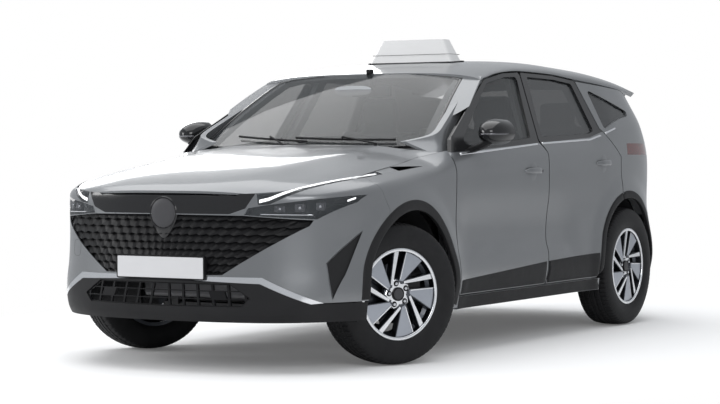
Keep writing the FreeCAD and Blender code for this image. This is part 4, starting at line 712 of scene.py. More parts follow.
def beltStrip(name, skin, word, sign, body, y0, y1, columns):
    spots = []
    for share in (0, 0.25, 0.75, 1):
        row = []
        for j in range(columns + 1):
            y = y0 + (y1 - y0) * j / columns
            z = lineOf(belt["line"], y) - belt["drop"] - belt["tall"] * (1 - share)
            hit = skin.side(word, y, z)
            near = hit and abs(hit[0].x) > 0.7
            row.append((Vector((hit[0].x, y, z)), Vector((sign, 0, 0))) if near else None)
        spots.append(row)
    if not any(spot for row in spots for spot in row):
        return
    points, faces = laid(spots, [0.0005, 0.0035, 0.0035, 0.0005], 0.001)
    addMesh(name, points, faces, "bright", body, "bright_trim")


for word, sign in sides:
    for place in ("front", "rear"):
        y0, y1 = belt[place]
        beltStrip("belt_trim_%s_%s" % (place, word), doorSkin[place, word], word, sign,
                  "%s_door_%s" % (place, word), y0, y1, 36)
    beltStrip("belt_trim_quarter_" + word, sideSkin[word], word, sign, "car_body", 1.048, 1.25, 10)
print("belt line")

# door handles: a rounded pull over an oval cup, with a keyhole behind the front one
handles = {"front": (0.062, 0.947), "rear": (1.004, 0.981), "long": 0.205, "tall": 0.033, "cupWide": 0.088,
           "cupTall": 0.108, "stand": 0.027}


def ovalPatch(name, skin, word, sign, body, y, z, wide, tall, rise, finish, slotName, rings=4, count=32):
    parts = [skin.side(word, y, z)[0] + Vector((sign * rise, 0, 0))]
    faces = []
    for ring in range(1, rings + 1):
        share = ring / rings
        lift = rise if ring < rings else 0.0003
        for turn in turnsOf(count):
            spotY = y + wide / 2 * share * math.cos(turn)
            spotZ = z + tall / 2 * share * math.sin(turn)
            hit = skin.side(word, spotY, spotZ)
            parts.append(Vector(((hit[0].x if hit else parts[0].x) + sign * lift, spotY, spotZ)))
    for i in range(count):
        k = (i + 1) % count
        faces.append((0, 1 + i, 1 + k))
        for ring in range(rings - 1):
            a = 1 + ring * count
            b = a + count
            faces.append((a + i, b + i, b + k, a + k))
    addMesh(name, parts, faces, finish, body, slotName)


for word, sign in sides:
    for place in ("front", "rear"):
        y, z = handles[place]
        body = "%s_door_%s" % (place, word)
        skin = doorSkin[place, word]
        hit = skin.side(word, y, z)
        if not hit:
            continue
        ovalPatch("handle_cup_%s_%s" % (place, word), skin, word, sign, body, y, z, handles["cupWide"],
                  handles["cupTall"], 0.0016, "cup", "body_paint")
        path = []
        scales = []
        for i in range(25):
            share = i / 24
            stand = handles["stand"] * (1 - abs(2 * share - 1) ** 3.2)
            spotY = y - handles["long"] / 2 + handles["long"] * share
            spotX = (skin.side(word, spotY, z) or hit)[0].x
            spotZ = z + 0.004 * math.sin(math.pi * share)
            path.append(Vector((spotX + sign * (stand - 0.006), spotY, spotZ)))
            scales.append(max(0.30, (1 - abs(2 * share - 1) ** 4) ** 0.5))
        outline = roundBar(0.014, handles["tall"], 14)
        points, faces = sweep(path, outline)
        for i, scale in enumerate(scales):
            for j in range(len(outline)):
                spot = points[i * len(outline) + j]
                points[i * len(outline) + j] = path[i] + (spot - path[i]) * scale
        addMesh("handle_%s_%s" % (place, word), points, faces, "paint", body, "body_paint")
        if place == "front":
            ovalPatch("keyhole_" + word, skin, word, sign, body, y + 0.118, z, 0.013, 0.015, 0.0012, "satin",
                      "black_trim", 2, 16)
print("door handles")

# front end: plate, badge, lamps and the tow cover's line
plate = {"half": 0.262, "low": 0.450, "high": 0.566, "front": -2.2035, "back": -2.176, "rim": 0.006}


def roundedRect(halfWide, low, high, radius, count=5):
    points = []
    for cx, cz, start in ((halfWide - radius, high - radius, 0), (-halfWide + radius, high - radius, 90),
                          (-halfWide + radius, low + radius, 180), (halfWide - radius, low + radius, 270)):
        for i in range(count + 1):
            turn = math.radians(start + 90 * i / count)
            points.append((cx + radius * math.cos(turn), cz + radius * math.sin(turn)))
    return points


def platform(outlines):
    # rings of (x, z) at their own depth, joined and closed at both ends
    points = [(x, depth, z) for ring, depth in outlines for x, z in ring]
    return points, ringFaces(len(outlines), len(outlines[0][0]))


def shrink(data, inset, radius):
    return roundedRect(data["half"] - inset, data["low"] + inset, data["high"] - inset, radius)


rings = [(shrink(plate, 0.003, 0.008), plate["back"]), (shrink(plate, 0, 0.010), plate["back"] - 0.004),
         (shrink(plate, 0, 0.010), plate["front"] + 0.003), (shrink(plate, 0.002, 0.009), plate["front"]),
         (shrink(plate, plate["rim"], 0.006), plate["front"]),
         (shrink(plate, plate["rim"] + 0.001, 0.005), plate["front"] + 0.0025)]
sharpen(addMesh("front_plate_holder", *platform(rings), "satin", "car_body", "black_trim"), 30)
rings = [(shrink(plate, plate["rim"] + 0.001, 0.005), plate["front"] + 0.004),
         (shrink(plate, plate["rim"] + 0.001, 0.005), plate["front"] + 0.0012),
         (shrink(plate, plate["rim"] + 0.0018, 0.0045), plate["front"] + 0.0006)]
sharpen(addMesh("front_plate", *platform(rings), "plate", "car_body", "sign_plastic"), 30)

badge = {"z": 0.7695, "radius": 0.070, "housing": 0.082, "point": 0.122}
skinAt = noseSkin.front(0, 0.80)[0].y
faceY = max(skinAt - 0.006, -2.2105)


def shieldRing(grow):
    # a circle whose lower part runs down to a blunt point
    ring = []
    for turn in turnsOf(64):
        x = math.cos(turn)
        z = math.sin(turn)
        radius = badge["housing"] + grow
        if z < 0:
            z = z * (1 + (badge["point"] / badge["housing"] - 1) * (-z) ** 1.5)
            x = x * (1 - 0.25 * (-math.sin(turn)) ** 2)
        ring.append((radius * x, badge["z"] + radius * z))
    return ring


def discRing(radius):
    return [(radius * math.cos(turn), badge["z"] + radius * math.sin(turn)) for turn in turnsOf(64)]


back = faceY + 0.040
rings = [(shieldRing(-0.004), back), (shieldRing(0), back - 0.006), (shieldRing(0), faceY + 0.008),
         (shieldRing(-0.004), faceY + 0.0045), (discRing(badge["radius"] + 0.003), faceY + 0.0045),
         (discRing(badge["radius"] + 0.0015), faceY + 0.007)]
sharpen(addMesh("badge_housing", *platform(rings), "gloss", "car_body", "gloss_black"), 40)
disc = badge["radius"]
rings = [(discRing(disc + 0.001), faceY + 0.008), (discRing(disc + 0.001), faceY + 0.005),
         (discRing(disc - 0.002), faceY + 0.0028), (discRing(disc * 0.6), faceY + 0.0018),
         (discRing(disc * 0.2), faceY + 0.0014)]
sharpen(addMesh("badge_disc", *platform(rings), "facet", "car_body", "gloss_black"), 40)


def noseSheet(name, xs, zs, rises, sunk, finish, slotName, sign):
    spots = []
    for row in range(len(rises)):
        line = []
        for k, x in enumerate(xs):
            z = zs(row, k)
            hit = noseSkin.front(sign * x, z)
            line.append(hit if hit and hit[0].y < -1.2 else None)
        spots.append(line)
    if any(s for row in spots for s in row):
        sharpen(addMesh(name, *laid(spots, rises, sunk), finish, "car_body", slotName), 40)


fenderSkin = Caster("front_fender_left", "front_fender_right")
hoodSkin = Caster("hood")


def lampEnd(word, sign):
    # the running lamp's pointed end: painted metal between the hood's edge and the fender's
    lines = []
    for k in range(61):
        y = -1.440 + 0.420 * k / 60
        inner = None
        outer = None
        for step in range(160):
            x = sign * (0.700 + step * 0.00125)
            top = hoodSkin.above(x, y)
            if top and outer is None:
                inner = top
            side = fenderSkin.above(x, y)
            if inner and outer is None and side and not top and side[0].z > 0.86:
                outer = side
        if inner and outer and abs(outer[0].x - inner[0].x) > 0.0115:
            share = 1 - 0.004 / (outer[0] - inner[0]).length
            lines.append([(outer[0].lerp(inner[0], share * row / 4), outer[1]) for row in range(5)])
    if len(lines) < 3:
        return
    spots = [[line[row] for line in lines] for row in range(5)]
    points, faces = laid(spots, [-0.0004, 0.0002, 0.0004, 0.0002, -0.001], 0.002)
    addMesh("lamp_end_" + word, points, faces, "paint", "car_body", "body_paint")


for word, sign in sides:
    lampEnd(word, sign)

# the rings of a lamp's cell and eye are (share of its size, depth); its places are (x, z, wide, tall)
lamp = {"runLine": [(0.512, 0.8275), (0.56, 0.840), (0.66, 0.889), (0.80, 0.955)], "runThick": (0.016, 0.009),
        "runSpan": (0.515, 0.795), "lowSpan": (0.50, 0.83), "tipSpan": (0.832, 0.850),
        "cells": [(0.605, 0.793, 0.052, 0.030), (0.685, 0.797, 0.050, 0.036), (0.757, 0.803, 0.046, 0.036)],
        "cell": [(1.0, -0.004), (1.0, -0.0015), (0.86, -0.0015), (0.80, -0.009), (0.62, -0.012)],
        "eye": [(0.50, -0.012), (0.42, -0.007), (0.28, -0.004), (0.10, -0.0028)]}


def spread(low, high, count):
    # evenly spaced values from low to high
    return [low + (high - low) * k / count for k in range(count + 1)]


def runHeight(row, k):
    x = spread(*lamp["runSpan"], 40)[k]
    low, high = lamp["runSpan"]
    inner, outer = lamp["runThick"]
    thick = inner + (outer - inner) * (x - low) / (high - low)
    return lineOf(lamp["runLine"], x) + thick * (row / 3 - 0.5)


for word, sign in sides:
    noseSheet("running_light_" + word, spread(*lamp["runSpan"], 40), runHeight,
              [0.0004, 0.0015, 0.0015, 0.0004], 0.002, "light", "lamp_lens", sign)
    for k, (x, z, wide, tall) in enumerate(lamp["cells"]):
        hit = noseSkin.front(sign * x, z)
        if not hit:
            continue
        place, normal = hit
        across = Vector((0, 0, 1)).cross(normal).normalized()
        up = normal.cross(across).normalized()
        parts = []
        for radius, depth in lamp["cell"]:
            parts.append([place + across * (wide * radius * a) + up * (tall * radius * b) + normal * depth
                          for a, b in roundedRect(0.5, -0.5, 0.5, 0.16)])
        points = [p for ring in parts for p in ring]
        faces = ringFaces(len(parts), len(parts[0]), False)
        tag = "%d_%s" % (k + 1, word)
        sharpen(addMesh("lamp_cell_" + tag, points, faces, "lampCell", "car_body", "lamp_lens"), 30)
        eye = []
        for radius, depth in lamp["eye"]:
            reach = tall / 2 * radius * 1.2
            eye += [place + (across * math.cos(turn) + up * math.sin(turn)) * reach + normal * depth
                    for turn in turnsOf(20)]
        faces = ringFaces(len(lamp["eye"]), 20, False)
        addMesh("lamp_eye_" + tag, eye, faces, "lampEye", "car_body", "lamp_lens")
    noseSheet("lamp_lower_light_" + word, spread(*lamp["lowSpan"], 30)[2:22],
              lambda row, k: 0.7655 + 0.004 * (row / 2) - 0.00022 * k, [0.0003, 0.0012, 0.0003], 0.002,
              "lampEye", "lamp_lens", sign)
    noseSheet("lamp_tip_light_" + word, spread(*lamp["tipSpan"], 8),
              lambda row, k: 0.828 + 0.0016 * k + (row - 1) * 0.0045, [0.0003, 0.0012, 0.0003], 0.002,
              "light", "lamp_lens", sign)
# the tow cover's fine outline on the right of the bumper
ring = []
for a, b in roundedRect(0.036, -0.040, 0.040, 0.024, 8):
    hit = noseSkin.front(-0.600 + a, 0.585 + b)
    if hit:
        ring.append(hit[0] - hit[1] * 0.0002)
if len(ring) > 20:
    points, faces = sweep(ring, roundBar(0.0016, 0.0016, 6, 2.0), True, [Vector((0, -1, 0))] * len(ring))
    addMesh("tow_cover_line", points, faces, "satin", "car_body", "black_trim")
print("front end")

# wheels: tyres with road tread, machined faces on the spokes, lip, hub and cap
rim = {"face": 0.0842, "unit": 0.222, "hubFace": 0.0662,
       "fin": [(0.30, -0.035), (0.865, -0.455), (0.948, -0.2214), (0.968, 0.024), (0.30, 0.062)],
       "bar": [(0.16, 0.222), (0.942, 0.233), (0.905, 0.347), (0.16, 0.278)],
       "steer": -25.0}
tyre = {"radius": 0.3555, "tread": 0.088, "grooves": (0.0185, 0.052), "groove": 0.0042,
        "depth": 0.0065, "pitches": 76, "wall": 0.226}


def wheelFrame(place, word, sign):
    for joint in frame["joints"]:
        if joint["name"] == "wheel_%s_%s_spin" % (place, word):
            spin = joint
        if joint["name"] == "steer_" + word:
            steer = joint
    centre = Vector(spin["pos_m"])
    if place == "rear":
        turn = Matrix.Identity(3)
    else:
        pin = Vector(steer["axis"])
        best = None
        for angle in (rim["steer"], -rim["steer"]):
            guess = Matrix.Rotation(math.radians(angle), 3, pin)
            miss = min((guess @ Vector((1, 0, 0)) - Vector(spin["axis"])).length,
                       (guess @ Vector((1, 0, 0)) + Vector(spin["axis"])).length)
            if best is None or miss < best[0]:
                best = (miss, guess)
        turn = best[1]
    out = turn @ Vector((sign, 0, 0))
    along = turn @ Vector((0, sign, 0))
    up = turn @ Vector((0, 0, 1))
    return lambda x, a, b: centre + out * x + along * a + up * b


def tyreProfile():
    # (across, radius) from the inner bead over the tread to the outer bead, finer on the tread
    wall = [(0.0862, tyre["wall"]), (0.094, 0.232), (0.1012, 0.246), (0.1058, 0.264), (0.1073, 0.283),
            (0.1068, 0.302), (0.1040, 0.320), (0.0990, 0.335), (0.0940, 0.3435)]
    tread = [tyre["tread"] * (1 - i / 18) for i in range(37)]
    crown = [(w, tyre["radius"] - 0.008 * (abs(w) / tyre["tread"]) ** 2.6) for w in tread]
    return wall + crown + [(-w, r) for w, r in reversed(wall)]


def makeTyre(place, word, at):
    profile = tyreProfile()
    count = tyre["pitches"] * 6
    points = []
    for i in range(count):
        turn = 2 * math.pi * i / count
        c = math.cos(turn)
        s = math.sin(turn)
        step = i % 6
        for w, radius in profile:
            cut = 0.0
            if abs(w) <= tyre["tread"] + 0.0005:
                for groove in tyre["grooves"]:
                    if abs(abs(w) - groove) < tyre["groove"]:
                        cut = tyre["depth"]
                if abs(w) > tyre["grooves"][1] and step == 0:
                    cut = tyre["depth"] * 0.8
                if tyre["grooves"][0] < abs(w) < tyre["grooves"][1] and step == (3 if w > 0 else 2):
                    cut = tyre["depth"] * 0.5
            elif radius > 0.330 and step == 0:
                cut = 0.003
            if 0.283 < radius < 0.2835:
                cut = -0.0002
            points.append(at(w, (radius - cut) * c, (radius - cut) * s))
    size = len(profile)
    faces = [(i * size + j, i * size + j + 1, ((i + 1) % count) * size + j + 1, ((i + 1) % count) * size + j)
             for i in range(count) for j in range(size - 1)]
    # the inner surface closes the ring
    inner = [(0.0862, tyre["wall"]), (0.080, 0.240), (0.085, 0.290), (0.070, 0.330), (0.0, 0.340),
             (-0.070, 0.330), (-0.085, 0.290), (-0.080, 0.240), (-0.0862, tyre["wall"])]
    start = len(points)
    turns = 48
    for i in range(turns):
        turn = 2 * math.pi * i / turns
        points += [at(w, radius * math.cos(turn), radius * math.sin(turn)) for w, radius in inner]
    faces += [(start + i * 9 + j, start + ((i + 1) % turns) * 9 + j, start + ((i + 1) % turns) * 9 + j + 1,
               start + i * 9 + j + 1) for i in range(turns) for j in range(8)]
    piece = addMesh("tyre_tread_%s_%s" % (place, word), points, faces, "tyre", "wheel_%s_%s" % (place, word),
                    "tyre_rubber")
    sharpen(piece, 32)
    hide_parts("tyre_%s_%s" % (place, word))


def plateOn(at, outline, low, high, bevel, step=0):
    # a flat plate with bevelled edges, turned by a fifth of a turn for each step
    turn = 2 * math.pi * step / 5
    spots = [(a * rim["unit"], b * rim["unit"]) for a, b in outline]
    middle = (sum(a for a, b in spots) / len(spots), sum(b for a, b in spots) / len(spots))
    c = math.cos(turn)
    s = math.sin(turn)

    def ring(x, inset):
        line = []
        for a, b in spots:
            da = middle[0] - a
            db = middle[1] - b
            size = math.hypot(da, db)
            a = a + da / size * inset
            b = b + db / size * inset
            line.append(at(x, a * c - b * s, a * s + b * c))
        return line

    rings = [ring(low, 0), ring(high - bevel, 0), ring(high, bevel * 1.5)]
    return [p for line in rings for p in line], ringFaces(3, len(spots))


def turned(at, profile, count, closedEnds=True):
    # a revolved profile of (x, radius) about the wheel's axis
    points = []
    size = len(profile)
    for i in range(count):
        turn = 2 * math.pi * i / count
        points += [at(x, r * math.cos(turn), r * math.sin(turn)) for x, r in profile]
    faces = [(i * size + j, i * size + j + 1, ((i + 1) % count) * size + j + 1, ((i + 1) % count) * size + j)
             for i in range(count) for j in range(size - 1)]
    if closedEnds:
        faces.append(tuple(i * size for i in range(count)))
        faces.append(tuple(i * size + size - 1 for i in range(count)))
    return points, faces


def curvedFin(outline, count=6):
    # the fin's outer edge follows the rim
    points = [outline[0]]
    a0 = math.atan2(outline[1][1], outline[1][0])
    a1 = math.atan2(outline[3][1], outline[3][0])
    for i in range(count + 1):
        turn = a0 + (a1 - a0) * i / count
        points.append((0.958 * math.cos(turn), 0.958 * math.sin(turn)))
    points.append(outline[4])
    return points


def makeRim(place, word, at):
    body = "wheel_%s_%s" % (place, word)
    tag = "%s_%s" % (place, word)
    face = rim["face"]
    fin = curvedFin(rim["fin"])
    fins = merged([plateOn(at, fin, face - 0.001, face + 0.0022, 0.0012, k) for k in range(5)])
    sharpen(addMesh("fin_faces_" + tag, *fins, "fin", body, "wheel_alloy"), 25)
    edge = [(0.33, 0.036), (0.950, 0.010), (0.962, 0.030), (0.33, 0.062)]
    edges = merged([plateOn(at, edge, face + 0.0015, face + 0.0034, 0.0008, k) for k in range(5)])
    sharpen(addMesh("fin_edges_" + tag, *edges, "machined", body, "wheel_alloy"), 25)
    bars = merged([plateOn(at, rim["bar"], face - 0.001, face + 0.0034, 0.0014, k) for k in range(5)])
    sharpen(addMesh("bar_faces_" + tag, *bars, "machined", body, "wheel_alloy"), 25)
    lip = [(0.0900, 0.2135), (0.0945, 0.2140), (0.0960, 0.2165), (0.0962, 0.2265), (0.0950, 0.2300),
           (0.0920, 0.2307)]
    addMesh("rim_lip_" + tag, *turned(at, lip, 96, False), "machined", body, "wheel_alloy")
    # the hub's star, its nuts over satin black discs of painted shade that stand in for their deep wells, and
    # the plain cap
    star = []
    for k in range(5):
        for angle, radius in ((-22, 0.335), (14, 0.345), (30, 0.300)):
            turn = math.radians(90 + 72 * k + angle)
            star.append((radius * math.cos(turn), radius * math.sin(turn)))
    top = rim["hubFace"] + 0.0105
    points, faces = plateOn(at, star, rim["hubFace"] - 0.001, top, 0.002)
    sharpen(addMesh("hub_star_" + tag, points, faces, "machined", body, "wheel_alloy"), 30)
    # the shallow satin black discs under the nuts are painted shade, standing in for the shadow down the
    # nuts' deep bores
    shadeDiscs = []
    nuts = []
    for k in range(5):
        turn = 2 * math.pi * (k + 0.35) / 5
        a = 0.0545 * math.cos(turn)
        b = 0.0545 * math.sin(turn)

        def shifted(x, u, v, a=a, b=b):
            return at(x, u + a, v + b)

        shadeDiscs.append(turned(shifted, [(top - 0.001, 0.0148), (top + 0.0009, 0.0148), (top + 0.0009, 0.0125),
                                      (top + 0.0002, 0.0118), (top + 0.0002, 0.0012)], 28))
        nuts.append(turned(shifted, [(top, 0.0095), (top + 0.0035, 0.0095), (top + 0.0052, 0.0078),
                                     (top + 0.0056, 0.002)], 6))
    # painted shade: a satin black disc round each nut in place of the dark of a deep well
    sharpen(addMesh("nut_wells_" + tag, *merged(shadeDiscs), "satin", body, "black_trim"), 30)
    sharpen(addMesh("wheel_nuts_" + tag, *merged(nuts), "lampEye", body, "bright_trim"), 25)
    ring = [(top - 0.002, 0.0345), (top + 0.006, 0.0345), (top + 0.0078, 0.0325), (top + 0.0078, 0.0285),
            (top + 0.0058, 0.0275)]
    sharpen(addMesh("cap_ring_" + tag, *turned(at, ring, 48, False), "satin", body, "black_trim"), 30)
    cap = [(top - 0.002, 0.0280), (top + 0.0062, 0.0280), (top + 0.0074, 0.0262), (top + 0.0082, 0.016),
           (top + 0.0086, 0.002)]
    sharpen(addMesh("centre_cap_" + tag, *turned(at, cap, 48), "facet", body, "wheel_alloy"), 30)


for word, sign in sides:
    for place in ("front", "rear"):
        at = wheelFrame(place, word, sign)
        makeTyre(place, word, at)
        makeRim(place, word, at)
print("wheels")

# door mirrors: an egg-shaped cap on a stalk, with an indicator strip and a glass
mirror = {"x": (0.880, 1.050), "y": (-0.655, -0.470), "z": (1.092, 1.236), "foot": (0.842, -0.60, 1.062),
          "knee": (0.915, -0.588, 1.088), "top": (0.955, -0.578, 1.112), "powers": (0.82, 0.86),
          "glass": [(-0.4695, 0.013), (-0.4685, 0.015), (-0.4685, 0.030)], "glassZ": 1.1605,
          "glassTall": 0.070}


def mirrorShell(sign, count=40, rings=24):
    points = []
    x0, x1 = mirror["x"]
    y0, y1 = mirror["y"]
    z0, z1 = mirror["z"]
    for i in range(rings + 1):
        share = i / rings
        y = y1 - (y1 - y0) * share
        bulge = max(0.02, (1 - share ** 2.6) ** 0.5)
        cz = z0 + (z1 - z0) * (0.46 - 0.02 * share)
        wide = (x1 - x0) / 2
        for turn in turnsOf(count):
            x, z = squaredOval(turn, wide * bulge, bulge, *mirror["powers"])
            tall = (z1 - cz if z > 0 else cz - z0) * (1 - 0.16 * (x / wide + 0.2 if x > 0 else 0))
            points.append((sign * ((x0 + x1) / 2 + x), y, cz + z * tall))
    return points, ringFaces(rings + 1, count)


for word, sign in sides:
    body = "front_door_" + word
    shell = addMesh("mirror_cap_" + word, *mirrorShell(sign), "gloss", body, "gloss_black")
    sharpen(shell, 50)
    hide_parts("door_mirror_" + word)
    x0, x1 = mirror["x"]
    skin = BVHTree.FromPolygons([v.co for v in shell.data.vertices],
                                [list(p.vertices) for p in shell.data.polygons])
    strip = []
    for row in range(4):
        line = []
        for k in range(25):
            x = sign * (x0 + 0.030 + (x1 - x0 - 0.034) * k / 24)
            z = 1.1465 + 0.0085 * (row / 3 - 0.5) + 0.004 * k / 24
            hit = skin.ray_cast(Vector((x, -2, z)), Vector((0, 1, 0)))[:2]
            line.append(hit if hit[0] else None)
        strip.append(line)
    points, faces = laid(strip, [0.0002, 0.0016, 0.0016, 0.0002], 0.002)
    addMesh("mirror_indicator_" + word, points, faces, "lampCell", body, "lamp_lens")
    rings = []
    for y, inset in mirror["glass"]:
        for turn in turnsOf(40):
            x, z = squaredOval(turn, (x1 - x0) / 2 - inset, mirror["glassTall"] - inset, *mirror["powers"])
            rings.append((sign * ((x0 + x1) / 2 + x), y, mirror["glassZ"] + z))
    sharpen(addMesh("mirror_glass_" + word, rings, ringFaces(3, 40), "mirror", body, "bright_trim"), 30)
    foot, knee, top = [Vector((sign * mirror[key][0], *mirror[key][1:])) for key in ("foot", "knee", "top")]
    path = [foot + (knee - foot) * k / 6 for k in range(7)]
    path += [knee + (top - knee) * k / 4 for k in range(1, 5)]
    points, faces = sweep(path, roundBar(0.070, 0.034, 20), ups=[Vector((sign * -0.4, 0, 1))] * len(path))
    sharpen(addMesh("mirror_stalk_" + word, points, faces, "satin", body, "gloss_black"), 40)
print("door mirrors")

# seats: the CAD seats' shapes swollen as cushions, with sewn channels
seat = {"voxel": 0.024, "shrink": 0.006, "pressure": 4.0, "frames": 20, "cap": 0.011, "channel": 0.005,
        "width": 0.007}


def baked(piece, kind, **values):
    # takes the result of a modifier as the mesh and leaves no modifier behind
    mod = piece.modifiers.new("work", kind)
    for key, value in values.items():
        setattr(mod, key, value)
    result = bpy.data.meshes.new_from_object(piece.evaluated_get(bpy.context.evaluated_depsgraph_get()))
    piece.modifiers.clear()
    piece.data = result


def spotsOf(mesh):
    flat = [0.0] * (3 * len(mesh.vertices))
    mesh.vertices.foreach_get("co", flat)
    return [Vector(flat[i:i + 3]) for i in range(0, len(flat), 3)]


def normalsOf(mesh):
    flat = [0.0] * (3 * len(mesh.vertices))
    mesh.vertex_normals.foreach_get("vector", flat)
    return [Vector(flat[i:i + 3]) for i in range(0, len(flat), 3)]


def setSpots(mesh, spots):
    mesh.vertices.foreach_set("co", [c for spot in spots for c in spot])
    mesh.update()


def swollen(piece):
    rest = [spot - normal * seat["shrink"]
            for spot, normal in zip(spotsOf(piece.data), normalsOf(piece.data))]
    setSpots(piece.data, rest)
    mod = piece.modifiers.new("pad", "CLOTH")
    mod.settings.quality = 4
    mod.settings.use_pressure = True
    mod.settings.uniform_pressure_force = seat["pressure"]
    mod.settings.effector_weights.gravity = 0
    mod.settings.tension_stiffness = 25
    mod.settings.compression_stiffness = 25
    mod.point_cache.frame_start = 1
    mod.point_cache.frame_end = seat["frames"]
    for step in range(1, seat["frames"] + 1):
        scene.frame_set(step)
    result = piece.evaluated_get(bpy.context.evaluated_depsgraph_get()).to_mesh()
    after = spotsOf(result)
    piece.modifiers.clear()
    scene.frame_set(1)
    capped = []
    for start, spot in zip(rest, after):
        move = spot - start
        if move.length > seat["cap"]:
            move = move.normalized() * seat["cap"]
        capped.append(start + move)
    setSpots(piece.data, capped)


def channelled(piece, lines):
    # presses sewn channels into the upholstery where a test gives a distance near zero
    spots = []
    for spot, normal in zip(spotsOf(piece.data), normalsOf(piece.data)):
        depth = 0.0
        for test in lines:
            miss = test(spot)
            if miss is not None and abs(miss) < seat["width"] * 2.2:
                depth = max(depth, math.exp(-(miss / seat["width"]) ** 2))
        spots.append(spot - normal * (seat["channel"] * depth))
    setSpots(piece.data, spots)


def makeSeat(name, node, body, lines):
    source = nodes[node]
    points = [source.matrix_world @ v.co for v in source.data.vertices]
    faces = [tuple(poly.vertices) for poly in source.data.polygons]
    piece = addMesh(name, points, faces, "cloth", body, "seat_fabric")
    baked(piece, "REMESH", mode="VOXEL", voxel_size=seat["voxel"], use_smooth_shade=True)
    swollen(piece)
    baked(piece, "SUBSURF", levels=1)
    channelled(piece, lines)
    piece.data.materials.clear()
    piece.data.materials.append(finishes["cloth"].material)
    for poly in piece.data.polygons:
        poly.use_smooth = True
    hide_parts(node)


def alongX(middle, half):
    def test(p):
        return abs(p.x - middle) - half if 0.50 < p.z < 1.15 else None
    return test


def level(high, y0, y1):
    def test(p):
        return p.z - high if y0 < p.y < y1 else None
    return test


def rank(depth, z1):
    def test(p):
        return p.y - depth if 0.5 < p.z < z1 else None
    return test


front = [alongX(0.38, 0.165), alongX(-0.38, 0.165), level(1.02, 0.42, 0.70), level(0.74, 0.35, 0.60),
         rank(0.16, 0.66)]
makeSeat("front_seat_cushions", "front_seats", "car_body", front)
back = [alongX(0.0, 0.19), alongX(0.0, 0.56), level(1.05, 1.3, 1.7), rank(1.08, 0.62)]
makeSeat("rear_seat_cushions", "rear_seat", "car_body", back)
print("seats")

# cabin: pads, grips and keys on the steering wheel, instruments and centre screen
helm = {"centre": Vector((0.39, -0.30, 0.96)), "rake": 24.0, "radius": 0.184}


def helmAt(a, b, lift):
    # a place on the steering wheel: a to the car's left, b up the wheel, lift toward the driver
    rake = math.radians(helm["rake"])
    out = Vector((0, math.cos(rake), math.sin(rake)))
    up = Vector((0, -math.sin(rake), math.cos(rake)))
    return helm["centre"] + Vector((1, 0, 0)) * a + up * b + out * lift


def padOn(place, outline, low, high, bevel):
    middle = (sum(a for a, b in outline) / len(outline), sum(b for a, b in outline) / len(outline))
    points = []
    for lift, share in ((low, 1.0), (high - bevel, 1.0), (high - bevel * 0.3, 0.95), (high, 0.86)):
        points += [place(middle[0] + (a - middle[0]) * share, middle[1] + (b - middle[1]) * share, lift)
                   for a, b in outline]
    return points, ringFaces(4, len(outline))


hub = [(a, b - 0.004) for a, b in [squaredOval(turn, 0.075, 0.055, 0.7, 0.8) for turn in turnsOf(36)]]
sharpen(addMesh("steering_pad", *padOn(helmAt, hub, -0.010, 0.030, 0.010), "cabin", "steering_wheel",
                "cabin_plastic"), 40)
rings = []
for sign in (1, -1):
    turns = [math.radians(a) for a in range(-24, 25, 4)]
    path = [helmAt(sign * helm["radius"] * math.cos(t), helm["radius"] * math.sin(t), 0) for t in turns]
    outs = [helmAt(sign * math.cos(t), math.sin(t), 0) - helm["centre"] for t in turns]
    rings.append(sweep(path, roundBar(0.0345, 0.0335, 16), ups=outs))
sharpen(addMesh("steering_grips", *merged(rings), "gloss", "steering_wheel", "gloss_black"), 40)
keys = []
for sign in (1, -1):
    for k in range(3):
        middle = sign * (0.092 + 0.018 * k)
        spot = [(middle + 0.007 * math.cos(t), 0.004 + 0.010 * math.sin(t)) for t in turnsOf(12)]
        keys.append(padOn(helmAt, spot, -0.004, 0.016, 0.003))
sharpen(addMesh("steering_keys", *merged(keys), "bright", "steering_wheel", "bright_trim"), 40)


def upright(x0, y0, z0, lean):
    # a frame on a leaning plane that faces the seats
    rake = math.radians(lean)
    up = Vector((0, -math.sin(rake), math.cos(rake)))
    out = Vector((0, math.cos(rake), math.sin(rake)))
    return lambda a, b, lift: Vector((x0, y0, z0)) + Vector((1, 0, 0)) * a + up * b + out * lift


def roundedBox(halfWide, halfTall, radius):
    return roundedRect(halfWide, -halfTall, halfTall, radius)


dashSkin = Caster("dashboard")
spot = dashSkin.above(0.0, -0.44)
dashTop = spot[0].z if spot else 1.0
panel = upright(0.0, -0.448, dashTop + 0.052, 12)
points, faces = padOn(panel, roundedBox(0.135, 0.058, 0.010), -0.012, 0.004, 0.003)
sharpen(addMesh("centre_screen", points, faces, "gloss", "car_body", "gloss_black"), 40)
cluster = upright(0.39, -0.465, dashTop + 0.040, 20)
points, faces = padOn(cluster, roundedBox(0.125, 0.045, 0.012), -0.012, 0.003, 0.003)
sharpen(addMesh("instrument_screen", points, faces, "gloss", "car_body", "gloss_black"), 40)
arch = [upright(0.39, -0.50, dashTop, 0)(0.150 * math.cos(t), 0.088 * math.sin(t), 0)
        for t in [math.pi * k / 20 for k in range(21)]]
ups = [place - Vector((0.39, -0.50, 1.0)) for place in arch]
sharpen(addMesh("instrument_hood", *sweep(arch, roundBar(0.105, 0.010, 14), ups=ups), "cabin", "car_body",
                "cabin_plastic"), 40)
print("cabin")

# interior mirror: a shaped frame with its glass toward the seats
glassLine = [squaredOval(turn, 0.118, 0.027, 0.7, 0.7) for turn in turnsOf(40)]
looking = upright(0.0, -0.3808, 1.3965, -4)
points, faces = padOn(looking, glassLine, -0.004, 0.0052, 0.002)
sharpen(addMesh("interior_mirror_glass", points, faces, "mirror", "car_body", "bright_trim"), 30)
print("interior mirror")

